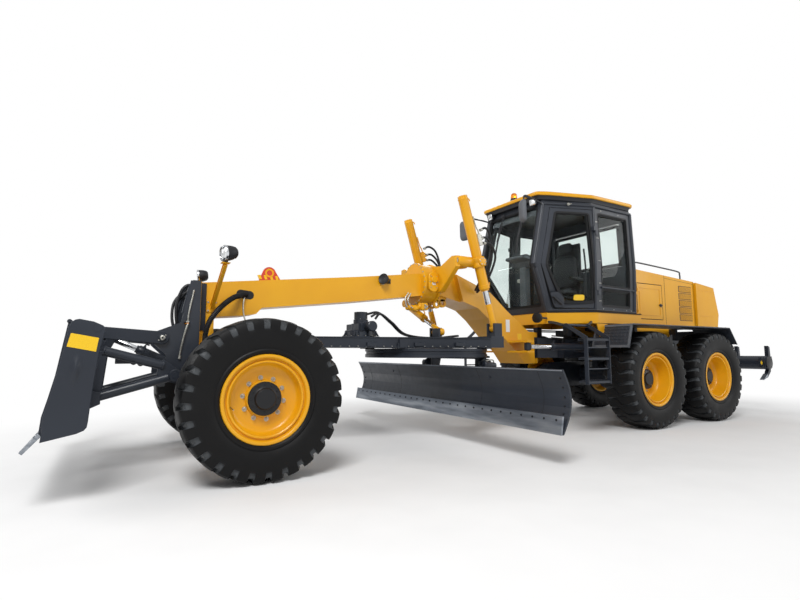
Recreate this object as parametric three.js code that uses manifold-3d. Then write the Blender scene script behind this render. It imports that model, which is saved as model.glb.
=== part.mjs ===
// Motor grader: rear frame with cab, engine and tandem drive, hinged to a front frame that carries
// the steered axle, the drawbar with its circle and moldboard, and a front dozer blade.
// Millimetres. +X forward, +Y left, +Z up. The group's origin is on the ground, in the middle of the
// machine's length; inside it, lengths are measured from the front axle (X = 0 there).
import * as THREE from 'three';
import { mergeVertices } from 'three/addons/utils/BufferGeometryUtils.js';
import Module from 'manifold-3d';

const wasm = await Module();
wasm.setup();

// ---------- driving dimensions ----------
const FRONT_AXLE_FROM_ORIGIN = 3775;  // half of the length, less what stands ahead of the front axle
const WHEELBASE = 6160;               // front axle to the middle of the tandem
const TANDEM_SPACING = 1557;          // between the two rear axles of one side
const TYRE_RADIUS = 675;
const TYRE_WIDTH = 445;
const RIM_SEAT_RADIUS = 330;
const RIM_FLANGE_RADIUS = 368;
const FRONT_TRACK = 2180;             // between the middles of the front tyres
const REAR_TRACK = 2104;
const WHEEL_FACETS = 24;
const KINGPIN_Y = 800;
const BEAM_WIDTH = 340;
const NECK_WIDTH = 500;               // gooseneck plates behind the lift saddle
const PIVOT_X = -4200;                // articulation pin
const PIVOT_RADIUS = 55;
const BALL_X = 180;                   // drawbar ball
const BALL_Z = 1040;
const CIRCLE_X = -2380;
const CIRCLE_RADIUS = 780;
const CIRCLE_TOP = 1090;
const CIRCLE_DEPTH = 110;
const BLADE_LENGTH = 4300;
const BLADE_TOP = 888;
const BLADE_BOTTOM = 300;
const BLADE_X = -2450;                // the edges of the moldboard
const TIP_PIVOT_X = -2660;
const TIP_PIVOT_Z = 500;
const LIFT_Y = 640;                   // lift cylinders, either side
const SADDLE_X = -2330;
const SADDLE_Z = 1920;
const HOOD_HALF_WIDTH = 640;
const HOOD_FRONT = -5700;
const HOOD_REAR = -7500;
const HOOD_BOTTOM = 1480;
const FENDER_TOP = 1420;
const FENDER_OUTER = 1280;
const FLOOR_BOTTOM = 1430;
const FLOOR_TOP = 1600;
const DOZER_HALF_WIDTH = 1240;
const CAB_WALL = 60;
const SHEET = 12;                     // plate used for fenders and skirts
const TOUCH = 0.3;                    // gap kept between pieces that bear on each other
const RUNNING = 6;                    // gap beside pieces that move
const AXLE_Z = TYRE_RADIUS * Math.cos(Math.PI / WHEEL_FACETS);

// ---------- paints ----------
const paint = (color, roughness, metalness) => new THREE.MeshStandardMaterial({ color, roughness, metalness });
const yellow = paint(0xe3a22c, 0.45, 0.1);
const slate = paint(0x3c4350, 0.55, 0.1);
const steel = paint(0xb9bcc0, 0.3, 0.9);
const black = paint(0x1d1e20, 0.8, 0.0);
const rubber = paint(0x18181a, 0.9, 0.0);
const glassy = new THREE.MeshStandardMaterial({ color: 0x9db0ac, roughness: 0.05, transparent: true, opacity: 0.35 });

// ---------- solids ----------
function solid(geometry) {
  const bare = geometry.index ? geometry.toNonIndexed() : geometry.clone();
  for (const name of Object.keys(bare.attributes)) {
    if (name !== 'position') bare.deleteAttribute(name);
  }
  const merged = mergeVertices(bare, 1e-3);
  const build = (triVerts) => new wasm.Manifold(new wasm.Mesh({
    numProp: 3, vertProperties: new Float32Array(merged.attributes.position.array), triVerts,
  }));
  const index = new Uint32Array(merged.index.array);
  const body = build(index);
  return body.volume() > 0 ? body : build(index.map((v, i) => index[i % 3 === 0 ? i : i % 3 === 1 ? i + 1 : i - 1]));
}

function box(x0, x1, y0, y1, z0, z1) {
  const g = new THREE.BoxGeometry(Math.abs(x1 - x0), Math.abs(y1 - y0), Math.abs(z1 - z0));
  return solid(g.translate((x0 + x1) / 2, (y0 + y1) / 2, (z0 + z1) / 2));
}

// Round bar between two points.
function bar(from, to, radius, sides = 12) {
  const a = new THREE.Vector3(...from);
  const along = new THREE.Vector3(...to).sub(a);
  const g = new THREE.CylinderGeometry(radius, radius, along.length(), sides);
  g.applyQuaternion(new THREE.Quaternion().setFromUnitVectors(new THREE.Vector3(0, 1, 0), along.clone().normalize()));
  return solid(g.translate(a.x + along.x / 2, a.y + along.y / 2, a.z + along.z / 2));
}

// Cutter for the hole that a faceted round pin of this radius turns in.
function hole(from, to, radius, sides = 12) {
  return bar(from, to, (radius + TOUCH) / Math.cos(Math.PI / sides), sides);
}

// Flat bar between two points: width lies in the plane of `up`, thickness across it.
function flat(from, to, width, thickness, up = [0, 0, 1]) {
  const a = new THREE.Vector3(...from);
  const b = new THREE.Vector3(...to);
  const x = b.clone().sub(a).normalize();
  const y = new THREE.Vector3(...up).cross(x).normalize();
  const z = x.clone().cross(y);
  const g = new THREE.BoxGeometry(a.distanceTo(b), thickness, width);
  g.applyMatrix4(new THREE.Matrix4().makeBasis(x, y, z));
  return solid(g.translate((a.x + b.x) / 2, (a.y + b.y) / 2, (a.z + b.z) / 2));
}

function outline(points) {
  return new THREE.Shape(points.map(([u, v]) => new THREE.Vector2(u, v)));
}

// Side view outline [x, z], given thickness across from y0 to y1.
function sideplate(points, y0, y1) {
  const g = new THREE.ExtrudeGeometry(outline(points), { depth: y1 - y0, bevelEnabled: false, curveSegments: 8 });
  return solid(g.rotateX(Math.PI / 2).translate(0, y1, 0));
}

// Plan outline [x, y], given height from z0 to z1.
function planplate(points, z0, z1) {
  const g = new THREE.ExtrudeGeometry(outline(points), { depth: z1 - z0, bevelEnabled: false });
  return solid(g.translate(0, 0, z0));
}

// Front view outline [y, z], given length from x0 to x1.
function frontplate(points, x0, x1) {
  const g = new THREE.ExtrudeGeometry(outline(points), { depth: x1 - x0, bevelEnabled: false });
  return solid(g.rotateX(Math.PI / 2).rotateZ(Math.PI / 2).translate(x0, 0, 0));
}

// Turned about the Y axis: profile of [radius, y].
function turned(profile, sides = WHEEL_FACETS, closed = true) {
  const points = profile.map(([r, y]) => new THREE.Vector2(r, y));
  if (closed) points.push(points[0].clone());
  const g = new THREE.LatheGeometry(points, sides, Math.PI / sides);
  return solid(g);
}

function eye([x, y, z], radius, bore, width) {
  return bar([x, y - width / 2, z], [x, y + width / 2, z], radius)
    .subtract(bar([x, y - width, z], [x, y + width, z], bore));
}

function join(first, ...rest) {
  return rest.reduce((sum, piece) => sum.add(piece), first);
}

function mirrored(body) {
  return body.mirror([0, 1, 0]);
}

const grader = new THREE.Group();
grader.position.x = FRONT_AXLE_FROM_ORIGIN;

function place(name, body, material, at = [0, 0, 0]) {
  const mesh = body.getMesh();
  const g = new THREE.BufferGeometry();
  g.setAttribute('position', new THREE.BufferAttribute(new Float32Array(mesh.vertProperties), 3));
  g.setIndex(new THREE.BufferAttribute(new Uint32Array(mesh.triVerts), 1));
  g.computeVertexNormals();
  const piece = new THREE.Mesh(g, material);
  piece.name = name;
  piece.position.set(...at);
  grader.add(piece);
}

function pair(name, body, material) {
  place(`${name}_left`, body, material);
  place(`${name}_right`, mirrored(body), material);
}

// ---------- wheels ----------
const BEAD_Y = 165;

function tyre() {
  const w = TYRE_WIDTH / 2;
  const half = [[RIM_SEAT_RADIUS, BEAD_Y], [RIM_FLANGE_RADIUS + 4, BEAD_Y], [480, w],
    [TYRE_RADIUS - 45, w - 20], [TYRE_RADIUS, w - 72]];
  return turned([...half, ...half.toReversed().map(([r, y]) => [r, -y])]);
}

// The dish stands at `dish` from the middle of the tyre; outward is +y.
function rim(dish) {
  const seat = RIM_SEAT_RADIUS - TOUCH;
  const lip = BEAD_Y + 20;
  const well = RIM_SEAT_RADIUS - 26;
  return turned([[0, dish + 88], [84, dish + 88], [90, dish + 48], [148, dish + 45], [152, dish],
    [well, dish], [well, lip], [RIM_FLANGE_RADIUS, lip], [RIM_FLANGE_RADIUS, BEAD_Y + TOUCH],
    [seat, BEAD_Y + TOUCH], [seat, -BEAD_Y - TOUCH], [RIM_FLANGE_RADIUS, -BEAD_Y - TOUCH],
    [RIM_FLANGE_RADIUS, -lip], [well, -lip], [well, dish - 28], [130, dish - 28], [130, dish - 60],
    [0, dish - 60]], WHEEL_FACETS, false);
}

function wheel(name, x, y, dish) {
  const left = y > 0;
  const hub = rim(dish);
  place(`${name}_tyre`, tyre(), rubber, [x, y, AXLE_Z]);
  place(`${name}_rim`, left ? hub : mirrored(hub), yellow, [x, y, AXLE_Z]);
}

const FRONT_DISH = 62;
const REAR_DISH = -30;
const MID_X = -WHEELBASE + TANDEM_SPACING / 2;
const REAR_X = -WHEELBASE - TANDEM_SPACING / 2;
for (const [side, sign] of [['left', 1], ['right', -1]]) {
  wheel(`front_${side}`, 0, sign * FRONT_TRACK / 2, FRONT_DISH);
  wheel(`middle_${side}`, MID_X, sign * REAR_TRACK / 2, REAR_DISH);
  wheel(`rear_${side}`, REAR_X, sign * REAR_TRACK / 2, REAR_DISH);
}

// ---------- tandem axle ----------
const CASE_INNER = 610;
const CASE_OUTER = 790;
const CASE_HALF_HEIGHT = 205;

function tandemAxle() {
  const reach = TANDEM_SPACING / 2;
  const end = (x) => bar([x, CASE_INNER, AXLE_Z], [x, CASE_OUTER, AXLE_Z], CASE_HALF_HEIGHT, 20);
  const hub = (x) => bar([x, CASE_OUTER - 5, AXLE_Z],
    [x, REAR_TRACK / 2 + REAR_DISH - 60 - TOUCH, AXLE_Z], 125, 20);
  const side = join(
    box(-WHEELBASE - reach, -WHEELBASE + reach, CASE_INNER, CASE_OUTER,
      AXLE_Z - CASE_HALF_HEIGHT, AXLE_Z + CASE_HALF_HEIGHT),
    end(MID_X), end(REAR_X), hub(MID_X), hub(REAR_X));
  const tube = bar([-WHEELBASE, -CASE_INNER - 20, AXLE_Z], [-WHEELBASE, CASE_INNER + 20, AXLE_Z], 150, 20);
  const gears = bar([-WHEELBASE, -170, AXLE_Z], [-WHEELBASE, 170, AXLE_Z], 235, 20);
  const seats = box(-WHEELBASE - 130, -WHEELBASE + 130, RAIL_INNER, RAIL_OUTER, AXLE_Z, RAIL_BOTTOM - TOUCH);
  return join(side, mirrored(side), tube, gears, seats, mirrored(seats));
}

// ---------- rear frame ----------
const RAIL_INNER = 235;
const RAIL_OUTER = 345;
const RAIL_BOTTOM = 960;
const RAIL_TOP = 1240;
const RAIL_FRONT = -4560;
const RAIL_REAR = -8120;
const LUG_BOTTOM = 962;
const LUG_TOP = 1254;

function rearFrame() {
  const rail = box(RAIL_REAR, RAIL_FRONT, RAIL_INNER, RAIL_OUTER, RAIL_BOTTOM, RAIL_TOP);
  const cross = (x, w) => box(x - w, x + w, -RAIL_OUTER, RAIL_OUTER, RAIL_BOTTOM + 20, RAIL_TOP - 20);
  const neck = planplate([[PIVOT_X - 60, -110], [PIVOT_X - 60, 110], [RAIL_FRONT - 20, 230],
    [RAIL_FRONT - 20, -230]], LUG_BOTTOM, LUG_TOP);
  const knuckle = bar([PIVOT_X, 0, LUG_BOTTOM], [PIVOT_X, 0, LUG_TOP], 120, 24);
  const pin = bar([PIVOT_X, 0, EAR_BOTTOM - 14], [PIVOT_X, 0, EAR_TOP + 14], PIVOT_RADIUS, 24);
  const post = (x) => box(x - 50, x + 50, RAIL_INNER + 20, RAIL_OUTER - 10, RAIL_TOP - 5, FLOOR_BOTTOM - TOUCH);
  const hoodPost = (x) => box(x - 50, x + 50, RAIL_OUTER - 60, HOOD_HALF_WIDTH - 5, HOOD_BOTTOM - 60, HOOD_BOTTOM - TOUCH);
  const stem = (x) => box(x - 50, x + 50, RAIL_OUTER - 60, RAIL_OUTER - 10, RAIL_TOP - 5, HOOD_BOTTOM - TOUCH);
  const fenderArm = (x) => box(x - 30, x + 30, RAIL_OUTER - 15, FENDER_INNER + 60,
    FENDER_TOP - SHEET - 90, FENDER_TOP - SHEET - TOUCH);
  const fenderStem = (x) => box(x - 30, x + 30, RAIL_OUTER - 75, RAIL_OUTER - 15 + 5, RAIL_TOP - 5,
    FENDER_TOP - SHEET - TOUCH);
  const tail = box(RAIL_REAR - 90, RAIL_REAR + 5, -600, 600, 780, 1420);
  const ear = (z) => planplate([[ARTIC_REAR_X + 150, RAIL_OUTER - 10], [ARTIC_REAR_X + 110, ARTIC_Y + 40],
    [ARTIC_REAR_X + 60, ARTIC_Y + 60], [ARTIC_REAR_X - 60, ARTIC_Y + 60], [ARTIC_REAR_X - 110, RAIL_OUTER - 10]],
    z, z + 24);
  const side = join(rail, post(-4700), post(-5500), stem(-6300), hoodPost(-6300), stem(-7250), hoodPost(-7250),
    fenderArm(-5650), fenderStem(-5650), fenderArm(-6700), fenderStem(-6700),
    ear(ARTIC_Z + ARTIC_GAP), ear(ARTIC_Z - ARTIC_GAP - 24));
  return join(neck, knuckle, pin, side, mirrored(side), cross(RAIL_FRONT - 90, 90), cross(-5300, 60),
    cross(-WHEELBASE, 90), cross(-7900, 60), tail,
    ...RIPPER_Y.map((y) => ripperEar(y)), ripperCylinderEar());
}

// ---------- articulation cylinders ----------
const EAR_BOTTOM = 886;
const EAR_TOP = 1330;
const ARTIC_Y = 480;
const ARTIC_Z = 1120;
const ARTIC_FRONT_X = -3700;
const ARTIC_REAR_X = -4900;
const ARTIC_BARREL_END = -4130;
const ARTIC_GAP = 56;                 // from a cylinder's middle to the ears that hold it

function articBarrel() {
  return join(
    bar([ARTIC_REAR_X, ARTIC_Y, ARTIC_Z - ARTIC_GAP + TOUCH], [ARTIC_REAR_X, ARTIC_Y, ARTIC_Z + ARTIC_GAP - TOUCH], 48),
    bar([ARTIC_REAR_X + 20, ARTIC_Y, ARTIC_Z], [ARTIC_BARREL_END, ARTIC_Y, ARTIC_Z], 48))
    .subtract(bar([ARTIC_REAR_X + 260, ARTIC_Y, ARTIC_Z], [ARTIC_BARREL_END + 1, ARTIC_Y, ARTIC_Z], 30));
}

function articRod() {
  return join(
    bar([ARTIC_FRONT_X, ARTIC_Y, ARTIC_Z - ARTIC_GAP + TOUCH], [ARTIC_FRONT_X, ARTIC_Y, ARTIC_Z + ARTIC_GAP - TOUCH], 48),
    bar([ARTIC_REAR_X + 520, ARTIC_Y, ARTIC_Z], [ARTIC_FRONT_X - 20, ARTIC_Y, ARTIC_Z], 29.5));
}

// ---------- front frame ----------
const NECK_TOP = [[-2700, 2050], [-3270, 1843], [-3560, 1609], [-3960, 1330], [-4060, 1330]];
const NECK_UNDER = [[-4060, 886], [-3860, 886], [-3720, 1058], [-3460, 1265], [-3230, 1490], [-3050, 1626],
  [-2810, 1700]];
const BEAM_TOP = [[406, 1733], [-429, 1824], [-1352, 1927], [-2172, 2029], [-2700, 2050]];
const BEAM_UNDER = [[-2810, 1700], [-2437, 1783], [-1355, 1640], [-224, 1511], [-164, 1445], [-44, 1424],
  [250, 1400]];
const PIN_Z = 760;
const DOZER_MOUNT_Y = 300;

function frontFrame() {
  const w = BEAM_WIDTH / 2;
  const beam = sideplate([...BEAM_TOP, ...BEAM_UNDER, [250, 960], [130, 960], [130, 690], [406, 690]], -w, w);
  const neck = sideplate([...NECK_TOP, ...NECK_UNDER], -NECK_WIDTH / 2, NECK_WIDTH / 2);
  const pin = bar([135, 0, PIN_Z], [-130, 0, PIN_Z], 60);
  const socket = bar([BALL_X + 75, 0, BALL_Z], [BALL_X + 20, 0, BALL_Z], 60)
    .subtract(ball(BALL_X, 0, BALL_Z, 62));
  const cheek = box(BALL_X - 80, 255, 60 + TOUCH, 82, BALL_Z - 55, BALL_Z + 60);
  const hinge = (z0, z1) => join(bar([PIVOT_X, 0, z0], [PIVOT_X, 0, z1], 125, 24),
    box(PIVOT_X, -4050, -125, 125, z0, z1)).subtract(
    hole([PIVOT_X, 0, z0 - 1], [PIVOT_X, 0, z1 + 1], PIVOT_RADIUS, 24));
  const cylinderEar = (z) => planplate([[ARTIC_FRONT_X - 150, NECK_WIDTH / 2 - 5], [ARTIC_FRONT_X - 60, ARTIC_Y + 55],
    [ARTIC_FRONT_X + 55, ARTIC_Y + 55], [ARTIC_FRONT_X + 150, NECK_WIDTH / 2 - 5]], z, z + 24);
  const ears = join(cylinderEar(ARTIC_Z + ARTIC_GAP), cylinderEar(ARTIC_Z - ARTIC_GAP - 24));
  const plate = sideplate([[400, 1733], [490, 1733], [560, 1330], [772, 1240], [772, 1120], [680, 1030],
    [680, 780], [560, 760], [400, 800]], DOZER_MOUNT_Y - 25, DOZER_MOUNT_Y);
  const web = box(395, 420, -DOZER_MOUNT_Y + 5, DOZER_MOUNT_Y - 5, 800, 1733);
  return join(beam, neck, pin, socket, cheek, mirrored(cheek), hinge(EAR_BOTTOM, LUG_BOTTOM - 8), hinge(LUG_TOP + 8, EAR_TOP),
    ears, mirrored(ears), plate, mirrored(plate), web, dozerCylinderEar());
}

function ball(x, y, z, radius) {
  return solid(new THREE.SphereGeometry(radius, 12, 8).translate(x, y, z));
}

// ---------- lift saddle ----------
const TRUNNION_X = -2745;
const TRUNNION_Z = 2150;
const SADDLE_HALF = 130;
const SHIFT_TOP = [SADDLE_X + 30, -360, 1700];

function liftSaddle() {
  const drum = bar([SADDLE_X - SADDLE_HALF, 0, SADDLE_Z], [SADDLE_X + SADDLE_HALF, 0, SADDLE_Z], 270, 28);
  const arm = join(
    box(SADDLE_X - SADDLE_HALF, SADDLE_X + 60, 60, 430, 2110, 2210),
    box(TRUNNION_X - 110, SADDLE_X - 60, 330, 430, 2080, 2215),
    box(TRUNNION_X - 60, TRUNNION_X + 60, 425, LIFT_Y - 78, 2090, 2210));
  const pin = bar([TRUNNION_X, LIFT_Y - 90, TRUNNION_Z], [TRUNNION_X, LIFT_Y - 56, TRUNNION_Z], 34);
  const half = join(arm, pin);
  const lug = box(SHIFT_TOP[0] - 68, SHIFT_TOP[0] - 52, -420, -150, 1640, 1850);
  const body = join(drum, half, mirrored(half), lug);
  return body.subtract(sideplate([...BEAM_TOP.map(([x, z]) => [x, z + TOUCH * 2]),
    ...BEAM_UNDER.map(([x, z]) => [x, z - TOUCH * 2])], -BEAM_WIDTH / 2 - TOUCH, BEAM_WIDTH / 2 + TOUCH));
}

// ---------- front axle ----------
function frontAxle() {
  const half = frontplate([[0, 650], [0, 860], [350, 860], [600, 805], [600, 560], [350, 640]], -100, 100);
  const fork = (z) => join(box(-60, 60, 595, KINGPIN_Y, z, z + 60), bar([0, KINGPIN_Y, z], [0, KINGPIN_Y, z + 60], 60));
  const pin = bar([0, KINGPIN_Y, 505], [0, KINGPIN_Y, 845], 32, 20);
  const web = box(-60, 60, 590, 650, 520, 830);
  const side = join(half, web, fork(520), fork(770), pin);
  return join(side, mirrored(side)).subtract(bar([-140, 0, PIN_Z], [140, 0, PIN_Z], 60 + TOUCH));
}

function knuckle() {
  const hub = FRONT_TRACK / 2 + FRONT_DISH - 60 - TOUCH;
  const sleeve = bar([0, KINGPIN_Y, 586], [0, KINGPIN_Y, 764], 70, 20);
  const spindle = bar([0, KINGPIN_Y + 20, AXLE_Z], [0, hub, AXLE_Z], 60);
  const plate = bar([0, KINGPIN_Y + 85, AXLE_Z], [0, KINGPIN_Y + 150, AXLE_Z], 120, 20);
  const arm = box(-STEER_ARM - 30, 0, KINGPIN_Y - 30, KINGPIN_Y + 30, 600, 640);
  return join(sleeve, spindle, plate, arm)
    .subtract(hole([0, KINGPIN_Y, 500], [0, KINGPIN_Y, 850], 32, 20))
    .subtract(hole([-STEER_ARM, KINGPIN_Y, 590], [-STEER_ARM, KINGPIN_Y, 650], 16 - TOUCH));
}

const STEER_ARM = 210;

function tieRod() {
  const pin = bar([-STEER_ARM, KINGPIN_Y, 560], [-STEER_ARM, KINGPIN_Y, 648], 16 - TOUCH);
  const end = bar([-STEER_ARM, KINGPIN_Y, 545], [-STEER_ARM, KINGPIN_Y, 594], 34);
  return join(bar([-STEER_ARM, -KINGPIN_Y, 570], [-STEER_ARM, KINGPIN_Y, 570], 22), pin, mirrored(pin), end,
    mirrored(end));
}

// ---------- drawbar and circle ----------
const LIFT_FOOT_X = -2980;
const LIFT_FOOT_Z = 1340;
const DRAWBAR_BOTTOM = CIRCLE_TOP + TOUCH;

function drawbar() {
  const leg = planplate([[BALL_X - 150, 60], [BALL_X - 150, -20], [-500, 60], [-3050, 560], [-3050, 720], [-2850, 720],
    [-600, 230]], DRAWBAR_BOTTOM + 10, 1220);
  const tongue = join(box(BALL_X - 200, BALL_X - 40, -60, 60, 1000, 1110), ball(BALL_X, 0, BALL_Z, 58),
    bar([BALL_X - 60, 0, BALL_Z], [BALL_X, 0, BALL_Z], 34));
  const front = planplate([[-100, -100], [-100, 100], [-700, 260], [-700, -260]], DRAWBAR_BOTTOM + 10, 1180);
  const rear = box(-3060, -2860, -720, 720, DRAWBAR_BOTTOM + 10, 1240);
  const middle = box(-1900, -1700, -500, 500, DRAWBAR_BOTTOM + 10, 1200);
  const shoe = (x, y) => box(x - 70, x + 70, y - 70, y + 70, DRAWBAR_BOTTOM, DRAWBAR_BOTTOM + 60);
  const hub = bar([CIRCLE_X, 0, DRAWBAR_BOTTOM + 10], [CIRCLE_X, 0, 1190], 240, 24);
  const spine = box(-3000, -1300, -90, 90, DRAWBAR_BOTTOM + 10, 1180);
  const motor = join(box(-1560, -1340, -170, 170, 1150, 1380), bar([-1450, 0, 1370], [-1450, 0, 1525], 80));
  const foot = join(box(LIFT_FOOT_X - 60, LIFT_FOOT_X + 60, LIFT_Y - 75, LIFT_Y - 45, 1200, LIFT_FOOT_Z + 60),
    box(LIFT_FOOT_X - 60, LIFT_FOOT_X + 60, LIFT_Y + 45, LIFT_Y + 75, 1200, LIFT_FOOT_Z + 60));
  const horn = join(box(SHIFT_TOP[0] + 52, SHIFT_TOP[0] + 76, 380, 520, 1150, 1330));
  const shoes = join(shoe(-1750, 420), shoe(-3000, 420));
  return join(leg, mirrored(leg), tongue, front, rear, middle, shoes, mirrored(shoes), hub, spine, motor,
    foot, mirrored(foot), horn);
}

function circle() {
  const ring = bar([CIRCLE_X, 0, CIRCLE_TOP - CIRCLE_DEPTH], [CIRCLE_X, 0, CIRCLE_TOP], CIRCLE_RADIUS, 40)
    .subtract(bar([CIRCLE_X, 0, CIRCLE_TOP - CIRCLE_DEPTH - 1], [CIRCLE_X, 0, CIRCLE_TOP + 1], CIRCLE_RADIUS - 130, 40));
  const armTop = CIRCLE_TOP - CIRCLE_DEPTH + 10;
  const arm = sideplate([[-2800, armTop], [-2790, 700], [-2600, 560], [-2600, 450], [-2700, 440], [-2880, 640],
    [-2960, armTop]], 470, 510).subtract(hole([TIP_PIVOT_X, 400, TIP_PIVOT_Z], [TIP_PIVOT_X, 600, TIP_PIVOT_Z], 30 - TOUCH, 20));
  const brace = box(-2960, -2900, -480, 480, armTop - 30, armTop - 2);
  return join(ring, arm, mirrored(arm), brace);
}

// ---------- moldboard ----------
function bladeCurve(offset) {
  const top = new THREE.Vector2(BLADE_X, BLADE_TOP);
  const bottom = new THREE.Vector2(BLADE_X + 20, BLADE_BOTTOM);
  const points = [];
  for (let i = 0; i <= 10; i += 1) {
    const t = i / 10;
    const deep = Math.sin(Math.PI * t) * 110 + offset;
    points.push([top.x + (bottom.x - top.x) * t - deep, top.y + (bottom.y - top.y) * t]);
  }
  return points;
}

const RAIL_PAIR = [420, 700];
const SLIDE_X = -2580;                // side shift cylinder, behind the top of the moldboard
const SLIDE_Z = 800;

function bladeBracket() {
  const cheek = sideplate([[TIP_PIVOT_X - 40, TIP_PIVOT_Z - 40], [TIP_PIVOT_X + 45, 370], [TIP_PIVOT_X + 62, 370],
    [TIP_PIVOT_X + 62, 740], [SLIDE_X + 40, SLIDE_Z - 30], [SLIDE_X + 40, SLIDE_Z + 50], [SLIDE_X - 40, SLIDE_Z + 50],
    [TIP_PIVOT_X - 60, 700]], 400, 455);
  const pin = bar([TIP_PIVOT_X, 410, TIP_PIVOT_Z], [TIP_PIVOT_X, 515, TIP_PIVOT_Z], 30 - TOUCH, 20);
  const tube = bar([SLIDE_X, -460, SLIDE_Z], [SLIDE_X, 460, SLIDE_Z], 42);
  const beam = box(TIP_PIVOT_X - 50, TIP_PIVOT_X + 20, -410, 410, 420, 480);
  const side = join(cheek, pin);
  return join(side, mirrored(side), tube, beam)
    .subtract(bar([SLIDE_X, -500, SLIDE_Z], [SLIDE_X, 500, SLIDE_Z], 28));
}

function moldboard() {
  const w = BLADE_LENGTH / 2;
  const sheet = sideplate([...bladeCurve(0), ...bladeCurve(22).toReversed()], -w, w);
  const rail = (z, front) => box(TIP_PIVOT_X + 62 + TOUCH, front, -900, 900, z - 25, z + 25);
  const lug = (y) => box(SLIDE_X - 40, -2500, y - 15, y + 15, SLIDE_Z - 40, SLIDE_Z + 40);
  const rod = bar([SLIDE_X, -1090, SLIDE_Z], [SLIDE_X, 1090, SLIDE_Z], 27);
  return join(sheet, rail(RAIL_PAIR[0], -2505), rail(RAIL_PAIR[1], -2545), lug(-1080), lug(1080), rod);
}

function cuttingEdge() {
  const w = BLADE_LENGTH / 2;
  return sideplate([[BLADE_X + 21, BLADE_BOTTOM], [BLADE_X + 40, BLADE_BOTTOM], [BLADE_X + 12, BLADE_BOTTOM + 165],
    [BLADE_X - 7, BLADE_BOTTOM + 165]], -w, w);
}

// ---------- lift and centre shift cylinders ----------
function liftLine(t) {
  const foot = [LIFT_FOOT_X, LIFT_Y, LIFT_FOOT_Z];
  const top = [TRUNNION_X, LIFT_Y, TRUNNION_Z];
  return foot.map((v, i) => v + (top[i] - v) * t);
}

function liftBarrel() {
  return join(bar(liftLine(0.62), liftLine(2.0), 62),
    bar([TRUNNION_X, LIFT_Y - 72, TRUNNION_Z], [TRUNNION_X, LIFT_Y + 72, TRUNNION_Z], 75))
    .subtract(bar(liftLine(0.6), liftLine(1.96), 40))
    .subtract(hole([TRUNNION_X, LIFT_Y - 73, TRUNNION_Z], [TRUNNION_X, LIFT_Y - 55.5, TRUNNION_Z], 34));
}

function liftRod() {
  return join(bar(liftLine(0), liftLine(1.76), 39.5 - TOUCH),
    bar([LIFT_FOOT_X, LIFT_Y - 38, LIFT_FOOT_Z], [LIFT_FOOT_X, LIFT_Y + 38, LIFT_FOOT_Z], 52));
}

const SHIFT_FOOT = [SADDLE_X + 30, 450, 1290];
function shiftLine(t) {
  return SHIFT_TOP.map((v, i) => v + (SHIFT_FOOT[i] - v) * t);
}

function shiftBarrel() {
  return join(bar([SHIFT_TOP[0] - 52 + TOUCH, ...SHIFT_TOP.slice(1)], [SHIFT_TOP[0] + 34, ...SHIFT_TOP.slice(1)], 50),
    bar(shiftLine(0), shiftLine(0.62), 46))
    .subtract(bar(shiftLine(0.12), shiftLine(0.63), 29));
}

function shiftRod() {
  return join(bar([SHIFT_FOOT[0] - 34, ...SHIFT_FOOT.slice(1)], [SHIFT_FOOT[0] + 34, ...SHIFT_FOOT.slice(1)], 44),
    bar(shiftLine(0.3), shiftLine(1), 28));
}

// ---------- front dozer blade ----------
const ARM_PIVOT = [600, 840];
const ARM_FOOT = [1220, 670];
const ARM_Y = 370;                    // push frame, either side
const LINK_PIVOT = [716, 1182];
const LINK_FOOT = [1200, 1222];
const STRUT_END = [1170, 1062];
const DOZER_PLATE_Y = 430;
const DOZER_CYL_FOOT = [1110, 1178];
const DOZER_CYL_TOP = [560, 920];     // on the nose

function dozerCylinderEar() {
  const [x, z] = DOZER_CYL_TOP;
  const ear = sideplate([[405, z + 90], [x - 30, z + 60], [x + 35, z + 35], [x + 35, z - 35], [x - 30, z - 55],
    [405, z - 60]], 56, 80);
  return join(ear, mirrored(ear));
}

function pushArms() {
  const y = ARM_Y;
  const tube = bar([ARM_PIVOT[0] + 60, y, ARM_PIVOT[1] - 16], [ARM_FOOT[0], y, ARM_FOOT[1]], 42);
  const strut = bar([ARM_PIVOT[0] + 100, y, ARM_PIVOT[1] + 90], [STRUT_END[0], y, STRUT_END[1]], 42);
  const head = bar([ARM_PIVOT[0], DOZER_MOUNT_Y + TOUCH, ARM_PIVOT[1]], [ARM_PIVOT[0], y + 25, ARM_PIVOT[1]], 55);
  const gusset = sideplate([[ARM_PIVOT[0] - 40, 800], [ARM_PIVOT[0] + 120, 780], [ARM_PIVOT[0] + 150, 860],
    [ARM_PIVOT[0] + 140, 960], [ARM_PIVOT[0] + 100, 985], [ARM_PIVOT[0] - 40, 880]], y - 20, y + 20);
  const post = sideplate([[STRUT_END[0] - 35, STRUT_END[1]], [STRUT_END[0] + 35, STRUT_END[1]],
    [ARM_FOOT[0] + 30, ARM_FOOT[1]], [ARM_FOOT[0] - 50, ARM_FOOT[1]]], y - 25, y + 25);
  const end = bar([ARM_FOOT[0], y - 45, ARM_FOOT[1]], [ARM_FOOT[0], DOZER_PLATE_Y - TOUCH, ARM_FOOT[1]], 52);
  const side = join(tube, strut, head, gusset, post, end);
  const cross = bar([STRUT_END[0], -y, STRUT_END[1]], [STRUT_END[0], y, STRUT_END[1]], 40);
  const ear = sideplate([[STRUT_END[0] - 40, STRUT_END[1]], [STRUT_END[0] + 40, STRUT_END[1]],
    [DOZER_CYL_FOOT[0] + 40, DOZER_CYL_FOOT[1] + 10], [DOZER_CYL_FOOT[0], DOZER_CYL_FOOT[1] + 45],
    [DOZER_CYL_FOOT[0] - 40, DOZER_CYL_FOOT[1] + 10]], 45, 65);
  return join(side, mirrored(side), cross, ear, mirrored(ear));
}

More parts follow.
